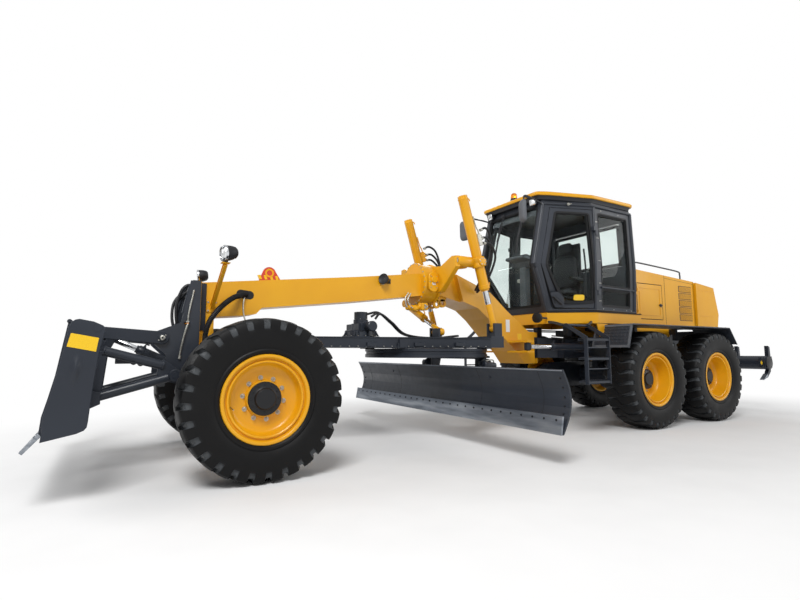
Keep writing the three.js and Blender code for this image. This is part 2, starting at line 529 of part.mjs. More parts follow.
function upperLinks() {
  const y = DOZER_MOUNT_Y + TOUCH;
  const link = flat([LINK_PIVOT[0], y + 20, LINK_PIVOT[1]], [LINK_FOOT[0], y + 20, LINK_FOOT[1]], 100, 40);
  const ends = join(bar([LINK_PIVOT[0], y, LINK_PIVOT[1]], [LINK_PIVOT[0], y + 40, LINK_PIVOT[1]], 58),
    bar([LINK_FOOT[0], y, LINK_FOOT[1]], [LINK_FOOT[0], y + 40, LINK_FOOT[1]], 52));
  const side = join(link, ends);
  const barX = LINK_PIVOT[0] + 100;
  return join(side, mirrored(side), bar([barX, -y - 5, LINK_PIVOT[1] + 8], [barX, y + 5, LINK_PIVOT[1] + 8], 22));
}

function dozerBlade() {
  const w = DOZER_HALF_WIDTH;
  const front = [[1378, 1268], [1402, 1100], [1432, 895], [1465, 739], [1493, 621], [1502, 505], [1596, 395]];
  const back = [[1578, 386], [1482, 486], [1476, 612], [1448, 735], [1416, 890], [1386, 1097], [1360, 1260]];
  const sheet = sideplate([...front, ...back], -w, w);
  const endPlate = sideplate([[1374, 1226], [1358, 1263], [1313, 1283], [1227, 1267], [1170, 1241], [1152, 1209],
    [1183, 1055], [1203, 854], [1219, 656], [1225, 567], [1245, 516], [1289, 497], [1490, 455], [1484, 505],
    [1484, 621], [1456, 739], [1424, 895], [1394, 1064]], w - 25, w);
  const footPlate = sideplate([[1170, 715], [1170, 620], [1300, 560], [1480, 520], [1484, 621], [1456, 739],
    [1440, 800], [1290, 745]], DOZER_PLATE_Y, DOZER_PLATE_Y + 25);
  const linkPlate = sideplate([[1152, 1262], [1150, 1195], [1215, 1160], [1390, 1080], [1366, 1240], [1240, 1274]],
    DOZER_MOUNT_Y - 25, DOZER_MOUNT_Y);
  const beam = box(1345, 1424, -w + 10, w - 10, 860, 950);
  const side = join(endPlate, footPlate, linkPlate);
  return join(sheet, side, mirrored(side), beam);
}

function dozerLine(t) {
  return [DOZER_CYL_TOP[0] + (DOZER_CYL_FOOT[0] - DOZER_CYL_TOP[0]) * t, 0,
    DOZER_CYL_TOP[1] + (DOZER_CYL_FOOT[1] - DOZER_CYL_TOP[1]) * t];
}

function dozerBarrel() {
  return join(bar([DOZER_CYL_TOP[0], -56 + TOUCH, DOZER_CYL_TOP[1]], [DOZER_CYL_TOP[0], 56 - TOUCH, DOZER_CYL_TOP[1]], 46),
    bar(dozerLine(0), dozerLine(0.66), 42)).subtract(bar(dozerLine(0.09), dozerLine(0.67), 29));
}

function dozerRod() {
  return join(bar(dozerLine(0.28), dozerLine(1), 28),
    bar([DOZER_CYL_FOOT[0], -38, DOZER_CYL_FOOT[1]], [DOZER_CYL_FOOT[0], 38, DOZER_CYL_FOOT[1]], 44));
}

// ---------- ripper ----------
const RIPPER_Y = [-430, 430];
const RIPPER_PIVOT = [-8290, 940];
const RIPPER_BAR = [-9010, 850];
const RIPPER_HALF = 1050;
const RIPPER_CYL_TOP = [-8290, 1330];
const RIPPER_CYL_FOOT = [-8930, 1060];
const SHANKS = 5;

function ripperEar(y) {
  const ear = (y0, y1) => sideplate([[-8200, 1020], [-8290, 1010], [-8350, 970], [-8350, 900], [-8290, 860],
    [-8200, 850]], y0, y1);
  return join(ear(y - 70, y - 46), ear(y + 46, y + 70));
}

function ripperCylinderEar() {
  const ear = sideplate([[-8200, 1400], [-8290, 1390], [-8340, 1330], [-8290, 1270], [-8200, 1260]], 58, 82);
  return join(ear, mirrored(ear));
}

function ripperArms() {
  const arm = (y) => join(
    flat([RIPPER_PIVOT[0], y, RIPPER_PIVOT[1]], [RIPPER_BAR[0], y, RIPPER_BAR[1]], 110, 70),
    bar([RIPPER_PIVOT[0], y - 46 + TOUCH, RIPPER_PIVOT[1]], [RIPPER_PIVOT[0], y + 46 - TOUCH, RIPPER_PIVOT[1]], 55));
  const tube = bar([RIPPER_BAR[0], -RIPPER_HALF, RIPPER_BAR[1]], [RIPPER_BAR[0], RIPPER_HALF, RIPPER_BAR[1]], 120, 24);
  const shank = (y) => sideplate([[-9080, 1150], [-9140, 1130], [-9160, 860], [-9120, 690], [-9000, 590],
    [-8860, 560], [-9000, 640], [-9070, 740], [-9080, 860]], y - 30, y + 30);
  const ear = sideplate([[-8930, 900], [-8880, 1060], [-8930, 1110], [-8985, 1060], [-9030, 900]], 45, 65);
  const shanks = [];
  for (let i = 0; i < SHANKS; i += 1) shanks.push(shank((i / (SHANKS - 1) - 0.5) * 2 * (RIPPER_HALF - 60)));
  return join(tube, ...RIPPER_Y.map(arm), ear, mirrored(ear), ...shanks);
}

function ripperLine(t) {
  return [RIPPER_CYL_TOP[0] + (RIPPER_CYL_FOOT[0] - RIPPER_CYL_TOP[0]) * t, 0,
    RIPPER_CYL_TOP[1] + (RIPPER_CYL_FOOT[1] - RIPPER_CYL_TOP[1]) * t];
}

function ripperBarrel() {
  return join(bar([RIPPER_CYL_TOP[0], -58 + TOUCH, RIPPER_CYL_TOP[1]], [RIPPER_CYL_TOP[0], 58 - TOUCH, RIPPER_CYL_TOP[1]], 46),
    bar(ripperLine(0), ripperLine(0.7), 52)).subtract(bar(ripperLine(0.12), ripperLine(0.71), 31));
}

function ripperRod() {
  return join(bar(ripperLine(0.2), ripperLine(1), 30),
    bar([RIPPER_CYL_FOOT[0], -38, RIPPER_CYL_FOOT[1]], [RIPPER_CYL_FOOT[0], 38, RIPPER_CYL_FOOT[1]], 44));
}

// ---------- cab ----------
// Half plan at each level: [front x, front y, side x, side y, rear x, rear y].
const CAB_LEVELS = [
  [FLOOR_TOP + TOUCH, -4100, 445, -4620, 830, -5640, 760],
  [2250, -3760, 560, -4640, 850, -5620, 800],
  [3170, -3981, 548, -4700, 800, -5580, 790],
];

function cabLoft(inset, bottom, top) {
  const rings = CAB_LEVELS.map(([z, fx, fy, sx, sy, rx, ry]) => [z, fx - inset, fy - inset * 0.6, sx, sy - inset,
    rx + inset, ry - inset]);
  const at = (z) => {
    const k = z <= rings[1][0] ? 0 : 1;
    const t = (z - rings[k][0]) / (rings[k + 1][0] - rings[k][0]);
    return rings[k].map((v, i) => v + (rings[k + 1][i] - v) * t);
  };
  const chosen = [at(bottom), rings[1], at(top)];
  const points = [];
  for (const [z, fx, fy, sx, sy, rx, ry] of chosen) {
    for (const [x, y] of [[fx, fy], [sx, sy], [rx, ry], [rx, -ry], [sx, -sy], [fx, -fy]]) points.push(x, y, z);
  }
  const index = [];
  for (let k = 0; k < 2; k += 1) {
    for (let i = 0; i < 6; i += 1) {
      const a = k * 6 + i;
      const b = k * 6 + (i + 1) % 6;
      index.push(a, b, b + 6, a, b + 6, a + 6);
    }
  }
  for (let i = 1; i < 5; i += 1) index.push(0, i + 1, i, 12, 12 + i, 13 + i);
  const g = new THREE.BufferGeometry();
  g.setAttribute('position', new THREE.Float32BufferAttribute(points, 3));
  g.setIndex(index);
  return solid(g);
}

const CAB_BOTTOM = FLOOR_TOP + TOUCH;
const CAB_TOP = 3170;
const DOOR_HINGE_X = -4700;
const CAB_HINGE_Y = 857;
const HOOD_HINGE_Y = HOOD_HALF_WIDTH + 10;
const DOOR = [[-4190, 1650], [-3880, 2250], [-4090, 3060], [DOOR_HINGE_X, 3060], [DOOR_HINGE_X, 1650]];
const DOOR_WINDOW = [[-4290, 1740], [-3965, 2250], [-4165, 2990], [-4630, 2990], [-4630, 1740]];
const REAR_WINDOW = [[-4830, 1980], [-4830, 3020], [-5480, 3020], [-5500, 1980]];
const REAR_LOW_WINDOW = [[-4830, 1700], [-4830, 1920], [-5500, 1920], [-5500, 1700]];

function grown(points, by) {
  const cx = points.reduce((s, p) => s + p[0], 0) / points.length;
  const cz = points.reduce((s, p) => s + p[1], 0) / points.length;
  return points.map(([x, z]) => [x + Math.sign(x - cx) * by, z + Math.sign(z - cz) * by]);
}

// One half of a butt hinge on a vertical pin: a knuckle from z0 to z1, its leaf out to x = to, the leaf's foot in the wall.
function hingeHalf([x, y], to, inner, z0, z1, radius) {
  return join(
    bar([x, y, z0], [x, y, z1], radius, 12),
    box(x, to, y - radius + 1, y + radius - 1, z0, z1),
    box(x + (to - x) * 0.4, to, inner, y, z0, z1),
  );
}

function cabHinges(ofDoor) {
  const at = [DOOR_HINGE_X, CAB_HINGE_Y];
  return join(...[1900, 2750].map((z) => (ofDoor
    ? hingeHalf(at, DOOR_HINGE_X + 45, 810, z + TOUCH, z + 60, 13)
    : hingeHalf(at, DOOR_HINGE_X - 45, 810, z - 60, z, 13))));
}

function hoodHinges(ofDoor) {
  const at = [HOOD_DOOR[1], HOOD_HINGE_Y];
  return join(...[1650, 1980].map((z) => (ofDoor
    ? hingeHalf(at, HOOD_DOOR[1] - 40, HOOD_HALF_WIDTH - 10, z + TOUCH, z + 50, 9)
    : hingeHalf(at, HOOD_DOOR[1] + 40, HOOD_HALF_WIDTH - 10, z - 50, z, 9))));
}

function cabWalls() {
  return cabLoft(0, CAB_BOTTOM, CAB_TOP).subtract(cabLoft(CAB_WALL, CAB_BOTTOM - 1, CAB_TOP + 1));
}

function cabShell() {
  const through = 1200;
  const front = frontplate([[-400, 1700], [400, 1700], [500, 2250], [480, 3080], [-480, 3080], [-500, 2250]], -4300, -3500);
  const back = box(-5800, -5400, -640, 640, 2350, 3020);
  return cabWalls()
    .subtract(sideplate(grown(DOOR, 8), -through, through))
    .subtract(sideplate(REAR_WINDOW, -through, through))
    .subtract(sideplate(REAR_LOW_WINDOW, -through, through))
    .subtract(front)
    .subtract(back)
    .add(cabHinges(false))
    .add(mirrored(cabHinges(false)));
}

function cabDoor() {
  return cabWalls().intersect(sideplate(DOOR, 300, 1200)).subtract(sideplate(DOOR_WINDOW, 300, 1200))
    .add(cabHinges(true));
}

function pane(window, y0, y1) {
  return cabLoft(26, CAB_BOTTOM, CAB_TOP).subtract(cabLoft(32, CAB_BOTTOM - 1, CAB_TOP + 1))
    .intersect(sideplate(grown(window, -TOUCH), y0, y1));
}

function windscreen() {
  const cut = frontplate([[-400 + TOUCH, 1700 + TOUCH], [400 - TOUCH, 1700 + TOUCH], [500 - TOUCH, 2250], [480 - TOUCH, 3080 - TOUCH],
    [-480 + TOUCH, 3080 - TOUCH], [-500 + TOUCH, 2250]], -4300, -3500);
  return cabLoft(26, CAB_BOTTOM, CAB_TOP).subtract(cabLoft(32, CAB_BOTTOM - 1, CAB_TOP + 1)).intersect(cut);
}

function cabRoof() {
  const plan = [[-3860, 560], [-4700, 850], [-5600, 850], [-5650, 780], [-5650, -780], [-5600, -850], [-4700, -850],
    [-3860, -560]];
  const inner = [[-3960, 500], [-4700, 790], [-5560, 790], [-5560, -790], [-4700, -790], [-3960, -500]];
  const beacon = bar([-4700, -300, 3290], [-4700, -300, 3420], 50);
  return join(planplate(plan, CAB_TOP + TOUCH, 3250), planplate(inner, 3240, 3300), beacon);
}

// ---------- platform with ladders ----------
function cabPlatform() {
  const plan = [[-4110, 455], [-4640, 860], [-5640, 860], [-5640, -860], [-4640, -860], [-4110, -455]];
  const hollow = [[-4125, 440], [-4650, 845], [-5625, 845], [-5625, -845], [-4650, -845], [-4125, -440]];
  const tray = planplate(plan, FLOOR_BOTTOM, FLOOR_TOP).subtract(planplate(hollow, FLOOR_BOTTOM - 1, FLOOR_TOP - 20));
  const posts = join(box(-4750, -4650, RAIL_INNER + 20, RAIL_OUTER - 10, FLOOR_BOTTOM, FLOOR_TOP - 10),
    box(-5550, -5450, RAIL_INNER + 20, RAIL_OUTER - 10, FLOOR_BOTTOM, FLOOR_TOP - 10));
  const step = (z, out) => box(-4360, -3990, 1060 + out, 1220 + out, z - 25, z);
  const rails = join(box(-4400, -4360, 1060, 1230, 640, 1440), box(-3990, -3950, 1060, 1230, 640, 1440));
  const landing = planplate([[-3950, 1230], [-4400, 1230], [-4700, 1230], [-4700, 840], [-4500, 760], [-3950, 700]], 1400, 1440);
  const ladder = join(rails, step(690, 0), step(980, 0), step(1220, 0), landing);
  return join(tray, posts, mirrored(posts), ladder, mirrored(ladder));
}

// ---------- fenders ----------
const FENDER_INNER = 700;
function fender() {
  const path = [[-4715, 1105], [-4815, FENDER_TOP], [-7270, FENDER_TOP], [-7467, 1167]];
  const under = [[-7455, 1160], [-7262, FENDER_TOP - SHEET], [-4824, FENDER_TOP - SHEET], [-4728, 1102]];
  return sideplate([...path, ...under], FENDER_INNER, FENDER_OUTER);
}

// ---------- hood, engine and cowl ----------
const HOOD_WALL = 25;
const HOOD_DOOR = [-6560, -5900, 1560, 2120];

function engineHood() {
  const side = [[HOOD_FRONT, HOOD_BOTTOM], [HOOD_FRONT, 2345], [HOOD_REAR, 2245], [HOOD_REAR, HOOD_BOTTOM]];
  const inside = [[HOOD_FRONT - HOOD_WALL, HOOD_BOTTOM - 1], [HOOD_FRONT - HOOD_WALL, 2345 - HOOD_WALL],
    [HOOD_REAR - 1, 2245 - HOOD_WALL], [HOOD_REAR - 1, HOOD_BOTTOM - 1]];
  const w = HOOD_HALF_WIDTH;
  const [x0, x1, z0, z1] = HOOD_DOOR;
  return sideplate(side, -w, w).subtract(sideplate(inside, -w + HOOD_WALL, w - HOOD_WALL))
    .subtract(box(x0 - RUNNING, x1 + RUNNING, -w - 1, w + 1, z0 - RUNNING, z1 + RUNNING))
    .add(hoodHinges(false)).add(mirrored(hoodHinges(false)));
}

function hoodDoor() {
  const [x0, x1, z0, z1] = HOOD_DOOR;
  return box(x0, x1, HOOD_HALF_WIDTH - HOOD_WALL, HOOD_HALF_WIDTH, z0, z1).add(hoodHinges(true));
}

function radiatorCowl() {
  const x = HOOD_REAR - TOUCH;
  const outer = sideplate([[x, HOOD_BOTTOM], [x, 2230], [-8060, 2170], [-8180, 1700], [-8130, HOOD_BOTTOM]], -680, 680);
  const inner = sideplate([[x + 1, HOOD_BOTTOM - 1], [x + 1, 2195], [-8020, 2140], [-8060, HOOD_BOTTOM - 1]], -640, 640);
  return outer.subtract(inner);
}

function seat() {
  const base = box(-5150, -4800, -200, 200, FLOOR_TOP + TOUCH, 1900);
  const cushion = box(-5180, -4700, -250, 250, 1890, 2040);
  const back = sideplate([[-5080, 2030], [-5200, 2030], [-5330, 2750], [-5230, 2770]], -240, 240);
  return join(base, cushion, back);
}

function steeringConsole() {
  const column = sideplate([[-4200, FLOOR_TOP + TOUCH], [-4370, FLOOR_TOP + TOUCH], [-4420, 2250], [-4250, 2280]], -110, 110);
  const wheelPost = bar([-4330, 0, 2240], [-4400, 0, 2400], 25);
  const ring = solid(new THREE.TorusGeometry(190, 16, 6, 16).rotateY(-0.42).translate(-4400, 0, 2400));
  const spoke = flat([-4400, -185, 2400], [-4400, 185, 2400], 30, 20, [0.4, 0, 0.9]);
  return join(column, wheelPost, ring, spoke);
}

// ---------- assembly ----------
place('rear_frame', rearFrame(), yellow);
place('tandem_axle', tandemAxle(), yellow);
place('engine', box(-7300, -6300, -RAIL_INNER + TOUCH, RAIL_INNER - TOUCH, RAIL_BOTTOM + 10, 1950), slate);
place('engine_hood', engineHood(), yellow);
place('radiator_cowl', radiatorCowl(), yellow);
pair('hood_door', hoodDoor(), yellow);
place('cab_platform', cabPlatform(), yellow);
place('cab_shell', cabShell(), slate);
place('cab_roof', cabRoof(), yellow);
place('windscreen', windscreen(), glassy);
pair('cab_door', cabDoor(), slate);
pair('door_glass', pane(DOOR_WINDOW, 300, 1200), glassy);
place('operator_seat', seat(), black);
place('steering_console', steeringConsole(), black);
pair('fender', fender(), slate);
pair('articulation_barrel', articBarrel(), yellow);
pair('articulation_rod', articRod(), steel);
place('front_frame', frontFrame(), yellow);
place('lift_saddle', liftSaddle(), yellow);
place('front_axle', frontAxle(), slate);
pair('steering_knuckle', knuckle(), slate);
place('tie_rod', tieRod(), steel);
place('drawbar', drawbar(), slate);
place('circle', circle(), slate);
place('blade_bracket', bladeBracket(), slate);
place('moldboard', moldboard(), slate);
place('cutting_edge', cuttingEdge(), steel);
pair('lift_barrel', liftBarrel(), yellow);
pair('lift_rod', liftRod(), steel);
place('shift_barrel', shiftBarrel(), yellow);
place('shift_rod', shiftRod(), steel);
place('push_arms', pushArms(), slate);
place('upper_links', upperLinks(), slate);
place('dozer_blade', dozerBlade(), slate);
place('dozer_barrel', dozerBarrel(), slate);
place('dozer_rod', dozerRod(), steel);
place('ripper', ripperArms(), slate);
place('ripper_barrel', ripperBarrel(), yellow);
place('ripper_rod', ripperRod(), steel);

export default grader;
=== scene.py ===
"""Motor grader, looks: enamelled steel, tyres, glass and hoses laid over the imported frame.

Lengths are millimetres measured from the front axle (X forward, Y left, Z up) until `piece` turns
them into metres in the frame's own axes.
"""
import math

import bpy
import numpy as np
from mathutils import Matrix, Vector


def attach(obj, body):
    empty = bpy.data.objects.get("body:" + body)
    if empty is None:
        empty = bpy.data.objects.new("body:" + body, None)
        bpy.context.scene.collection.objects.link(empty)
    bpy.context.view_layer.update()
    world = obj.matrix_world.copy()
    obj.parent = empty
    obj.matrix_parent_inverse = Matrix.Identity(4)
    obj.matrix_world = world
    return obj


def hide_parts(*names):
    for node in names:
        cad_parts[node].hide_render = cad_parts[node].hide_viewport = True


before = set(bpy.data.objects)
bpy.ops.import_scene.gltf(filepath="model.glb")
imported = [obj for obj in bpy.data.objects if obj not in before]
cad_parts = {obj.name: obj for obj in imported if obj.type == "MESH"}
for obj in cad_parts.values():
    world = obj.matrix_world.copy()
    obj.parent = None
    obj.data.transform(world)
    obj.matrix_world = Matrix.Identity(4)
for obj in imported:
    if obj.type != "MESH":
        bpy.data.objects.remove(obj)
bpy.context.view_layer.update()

AXLE_FROM_ORIGIN = 3775.0
TURN = 2 * np.pi


# ---------------------------------------------------------------- shapes
# A shape is (points, faces): an (n, 3) array and a list of index arrays, one per face size.

def skin(grid, around_u=False, around_v=True, caps=True):
    """Quads over a grid of points: face (i, j) joins rows i, i+1 and columns j, j+1, wrapping where asked."""
    grid = np.asarray(grid, float)
    rows, cols = grid.shape[:2]
    i = np.arange(rows if around_u else rows - 1)
    j = np.arange(cols if around_v else cols - 1)
    i, j = np.meshgrid(i, j, indexing="ij")
    down, right = (i + 1) % rows, (j + 1) % cols
    quads = np.stack([i * cols + j, i * cols + right, down * cols + right, down * cols + j], -1).reshape(-1, 4)
    faces = [quads]
    if caps and not around_u:
        faces += [np.arange(cols)[None, ::-1], (np.arange(cols) + (rows - 1) * cols)[None]]
    return outward((grid.reshape(-1, 3), faces))


def outward(shape):
    """Turns a closed shape's faces round if the volume under them, a sum of signed tetrahedra, is negative."""
    points, faces = shape
    volume = 0.0
    for group in faces:
        first = points[group[:, 0]]
        for k in range(1, group.shape[1] - 1):
            volume += np.einsum("ij,ij->", first, np.cross(points[group[:, k]], points[group[:, k + 1]]))
    return (points, [g[:, ::-1] for g in faces]) if volume < 0 else shape


def joined(*shapes):
    """Several shapes as one: their points in a row, their faces counted on from the points before."""
    points, faces, count = [], [], 0
    for more, groups in shapes:
        points.append(more)
        faces += [g + count for g in groups]
        count += len(more)
    return np.concatenate(points), faces


def moved(shape, by=(0, 0, 0), matrix=None):
    """The shape after a 3x3 matrix, then a step."""
    points, faces = shape
    if matrix is not None:
        points = points @ np.asarray(matrix, float).T
    return points + np.asarray(by, float), faces


def mirrored(shape):
    """The shape reflected in the plane y = 0, its faces turned back outwards."""
    points, faces = shape
    return points * (1, -1, 1), [g[:, ::-1] for g in faces]


def both(shape):
    """The shape and its reflection in y = 0."""
    return joined(shape, mirrored(shape))


EACH_SIDE = (("left", lambda shape: shape), ("right", mirrored))


def repeated(shape, places, matrices=None):
    """One copy of the shape at each place, all in one array: copy k is matrix k times the shape, plus place k."""
    points, faces = shape
    places = np.atleast_2d(np.asarray(places, float))
    copies = len(places)
    turned = np.broadcast_to(points, (copies,) + points.shape) if matrices is None else \
        np.einsum("kij,nj->kni", np.asarray(matrices, float), points)
    step = np.arange(copies) * len(points)
    every = [(g[None] + step[:, None, None]).reshape(-1, g.shape[1]) for g in faces]
    return (turned + places[:, None]).reshape(-1, 3), every


def basis(direction, up=(0, 0, 1)):
    """3x3 matrices whose third column is the direction and whose second leans towards up."""
    z = np.asarray(direction, float)
    z = z / np.linalg.norm(z, axis=-1, keepdims=True)
    x = np.cross(np.broadcast_to(np.asarray(up, float), z.shape), z)
    x = x / np.linalg.norm(x, axis=-1, keepdims=True)
    return np.stack([x, np.cross(z, x), z], -1)


TIP = 0.5  # a turned profile that closes on its axis starts and ends at this radius, so that its pole is a small face


def turned(profile, sides=32, axis=(0, 1, 0), at=(0, 0, 0), hollow=False):
    """Profile rows (radius, along) turned about an axis: point = at + along * axis + radius * (cos, sin) across it."""
    profile = np.asarray(profile, float)
    angle = np.arange(sides) / sides * TURN
    ring = np.stack([np.cos(angle), np.sin(angle), np.zeros(sides)], -1)
    grid = profile[:, :1, None] * ring[None] + profile[:, 1, None, None] * np.array([0, 0, 1.0])
    up = (0, 0, 1) if abs(axis[2]) < 0.9 * np.linalg.norm(axis) else (1, 0, 0)
    return moved(skin(grid, around_u=hollow, caps=not hollow), at, basis(axis, up))


def smooth_path(points, count):
    """A Catmull-Rom curve through the points: each span is a cubic whose ends lean along its neighbours."""
    p = np.asarray(points, float)
    p = np.concatenate([2 * p[:1] - p[1:2], p, 2 * p[-1:] - p[-2:-1]])
    t = np.linspace(0, len(p) - 3, count)
    k = np.minimum(t.astype(int), len(p) - 4)
    s = (t - k)[:, None]
    a, b, c, d = p[k], p[k + 1], p[k + 2], p[k + 3]
    return 0.5 * (2 * b + (c - a) * s + (2 * a - 5 * b + 4 * c - d) * s ** 2 + (3 * b - a - 3 * c + d) * s ** 3)


def pipe(path, radius, sides=10, count=0, up=(0.31, 0.17, 0.93)):
    """A round section carried along a path: each ring lies square to the path's direction there."""
    path = smooth_path(path, count) if count else np.asarray(path, float)
    along = np.gradient(path, axis=0)
    frames = basis(along, up)
    angle = np.arange(sides) / sides * TURN
    size = np.broadcast_to(np.asarray(radius, float), (len(path),))
    ring = np.cos(angle)[:, None] * frames[:, None, :, 0] + np.sin(angle)[:, None] * frames[:, None, :, 1]
    return skin(path[:, None] + size[:, None, None] * ring)


def inset(outline, by):
    """The outline moved inwards: each corner goes along the sum of its two edge normals, scaled to an even step."""
    p = np.asarray(outline, float)
    edge = np.roll(p, -1, 0) - p
    edge = edge / np.linalg.norm(edge, axis=1, keepdims=True)
    normal = np.stack([-edge[:, 1], edge[:, 0]], 1)
    before = np.roll(normal, 1, 0)
    turn = np.sign(np.sum(p[:, 0] * np.roll(p[:, 1], -1) - p[:, 1] * np.roll(p[:, 0], -1)))
    lean = np.maximum(1 + np.sum(normal * before, 1), 0.35)
    return p + turn * by * (normal + before) / lean[:, None]


PLANES = {"xy": (0, 1, 2), "xz": (0, 2, 1), "yz": (1, 2, 0)}


def slab(outline, low, high, plane="xz", bevel=3.0):
    """A flat outline given thickness from low to high, its rims cut back by a bevel in four rings."""
    rings = [inset(outline, bevel), np.asarray(outline, float), np.asarray(outline, float), inset(outline, bevel)]
    levels = [low, low + bevel, high - bevel, high]
    first, second, third = PLANES[plane]
    grid = np.zeros((4, len(outline), 3))
    grid[:, :, first] = np.stack(rings)[:, :, 0]
    grid[:, :, second] = np.stack(rings)[:, :, 1]
    grid[:, :, third] = np.array(levels)[:, None]
    return skin(grid)


def block(low, high, bevel=3.0):
    """A plate or box between two corners, with its upright edges chamfered and its rims cut back."""
    low, high = np.minimum(low, high), np.maximum(low, high)
    cut = bevel * 1.2
    x0, y0, x1, y1 = low[0], low[1], high[0], high[1]
    outline = [(x0 + cut, y0), (x1 - cut, y0), (x1, y0 + cut), (x1, y1 - cut), (x1 - cut, y1), (x0 + cut, y1),
               (x0, y1 - cut), (x0, y0 + cut)]
    return slab(outline, low[2], high[2], "xy", bevel)


def disc_outline(centre, radius, count=24, start=0.0, sweep=TURN):
    """Points of an arc: centre + radius * (cos, sin)."""
    angle = start + np.arange(count) / (count if sweep == TURN else count - 1) * sweep
    return np.asarray(centre, float) + np.asarray(radius, float) * np.stack([np.cos(angle), np.sin(angle)], -1)


def ring_of(centre, radius, count, level, plane="xz", start=0.0):
    """Places round a circle that lies in a plane, all at one level along the third axis."""
    first, second = PLANES[plane][:2]
    places = np.full((count, 3), float(level))
    places[:, [first, second]] = disc_outline(centre, radius, count, start)
    return places


def lofted(rings):
    """A skin through flat outlines (x, y), each at its own height: rings are (outline, z)."""
    return skin(np.stack([np.column_stack([outline, np.full(len(outline), float(z))]) for outline, z in rings]))


def rounded(low, high, radius, steps=5):
    """A rectangle's outline with quarter-circle corners."""
    (x0, y0), (x1, y1) = low, high
    corners = [((x1 - radius, y0 + radius), -0.25), ((x1 - radius, y1 - radius), 0.0),
               ((x0 + radius, y1 - radius), 0.25), ((x0 + radius, y0 + radius), 0.5)]
    return np.concatenate([disc_outline(c, radius, steps, turn * TURN, TURN / 4) for c, turn in corners])


def bolts(places, axis=(0, 1, 0), size=15.0):
    """Hexagon heads on round washers: each a six-sided profile over a ring, copied along one axis."""
    washer = turned([(size * 1.0, 0), (size * 1.0, size * 0.12), (size * 0.6, size * 0.16)], 16, (0, 0, 1))
    head = turned([(size * 0.8, 0), (size * 0.82, size * 0.6), (size * 0.66, size * 0.75)], 6, (0, 0, 1))
    frames = np.broadcast_to(basis(axis, (0, 0, 1) if abs(axis[2]) < 0.9 else (1, 0, 0)), (len(places), 3, 3))
    return repeated(joined(washer, head), places, frames)


def piece(name, shape, material, body, sharp=38.0):
    """Makes one Blender object from a shape in millimetres and lets it ride on a body."""
    points, faces = shape
    mesh = bpy.data.meshes.new(name)
    polygons = [f for g in faces for f in g.tolist()]
    mesh.from_pydata(((points + (AXLE_FROM_ORIGIN, 0, 0)) / 1000).tolist(), [], polygons)
    mesh.polygons.foreach_set("use_smooth", np.ones(len(polygons), bool))
    mesh.set_sharp_from_angle(angle=math.radians(sharp))
    mesh.materials.append(material)
    made = bpy.data.objects.new(name, mesh)
    bpy.context.scene.collection.objects.link(made)
    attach(made, body)
    return made


# ---------------------------------------------------------------- materials

def linear(code):
    """sRGB hex to linear light: c / 12.92 below 0.04045, else ((c + 0.055) / 1.055) ** 2.4."""
    c = np.array([int(code[k:k + 2], 16) for k in (1, 3, 5)]) / 255
    return (*np.where(c <= 0.04045, c / 12.92, ((c + 0.055) / 1.055) ** 2.4), 1.0)


def node(tree, kind, inputs=(), stops=(), **settings):
    """Adds one node: its settings, a ramp's stops (position, hex), and its inputs as values or links from sockets."""
    made = tree.nodes.new(kind)
    for key, value in settings.items():
        setattr(made, key, value)
    for k, (position, code) in enumerate(stops):
        made.color_ramp.elements[k].position, made.color_ramp.elements[k].color = position, linear(code)
    for key, value in dict(inputs).items():
        if isinstance(value, bpy.types.NodeSocket):
            tree.links.new(value, made.inputs[key])
        else:
            made.inputs[key].default_value = value
    return made


def per_metre(millimetres):
    """Noise scale whose features repeat at about this size."""
    return 1000.0 / millimetres


def surface(name, **shader):
    """A material with an empty Principled shader: (material, tree, shader node, object coordinates)."""
    material = bpy.data.materials.new(name)
    material.use_nodes = True
    tree = material.node_tree
    principled = tree.nodes["Principled BSDF"]
    for key, value in shader.items():
        principled.inputs[key.replace("_", " ")].default_value = value
    place = node(tree, "ShaderNodeTexCoord").outputs["Object"]
    return material, tree, principled, place


def finish(name, tones, gloss=None, relief=None, stretch=(), **shader):
    """A material whose colour, roughness and height follow patterns on Object coordinates.

    A pattern is (size in millimetres, detail): cloudy noise, or round cells where the detail is 0. tones is (pattern,
    low, high, dark, light): the colour goes from dark to light while the pattern goes from low to high. gloss is
    (pattern, low, high, start, end), the same for roughness, and relief is (pattern, strength, depth in metres).
    """
    material, tree, principled, place = surface(name, **shader)
    if stretch:
        place = node(tree, "ShaderNodeMapping", {"Vector": place, "Scale": stretch}).outputs["Vector"]
    fields = {}
    for size, detail in dict.fromkeys(use[0] for use in (tones, gloss, relief) if use):
        inputs = {"Vector": place, "Scale": per_metre(size)}
        if detail:
            made = node(tree, "ShaderNodeTexNoise", {**inputs, "Detail": detail}).outputs["Fac"]
        else:
            made = node(tree, "ShaderNodeTexVoronoi", inputs).outputs["Distance"]
        fields[size, detail] = made
    pattern, low, high, dark, light = tones
    tone = node(tree, "ShaderNodeValToRGB", {"Fac": fields[pattern]}, ((low, dark), (high, light)))
    tree.links.new(tone.outputs["Color"], principled.inputs["Base Color"])
    if gloss:
        pattern, low, high, start, end = gloss
        drift = node(tree, "ShaderNodeMapRange", {"Value": fields[pattern], "From Min": low, "From Max": high,
                                                  "To Min": start, "To Max": end})
        tree.links.new(drift.outputs["Result"], principled.inputs["Roughness"])
    if relief:
        pattern, strength, depth = relief
        bump = node(tree, "ShaderNodeBump", {"Height": fields[pattern], "Strength": strength, "Distance": depth})
        tree.links.new(bump.outputs["Normal"], principled.inputs["Normal"])
    return material


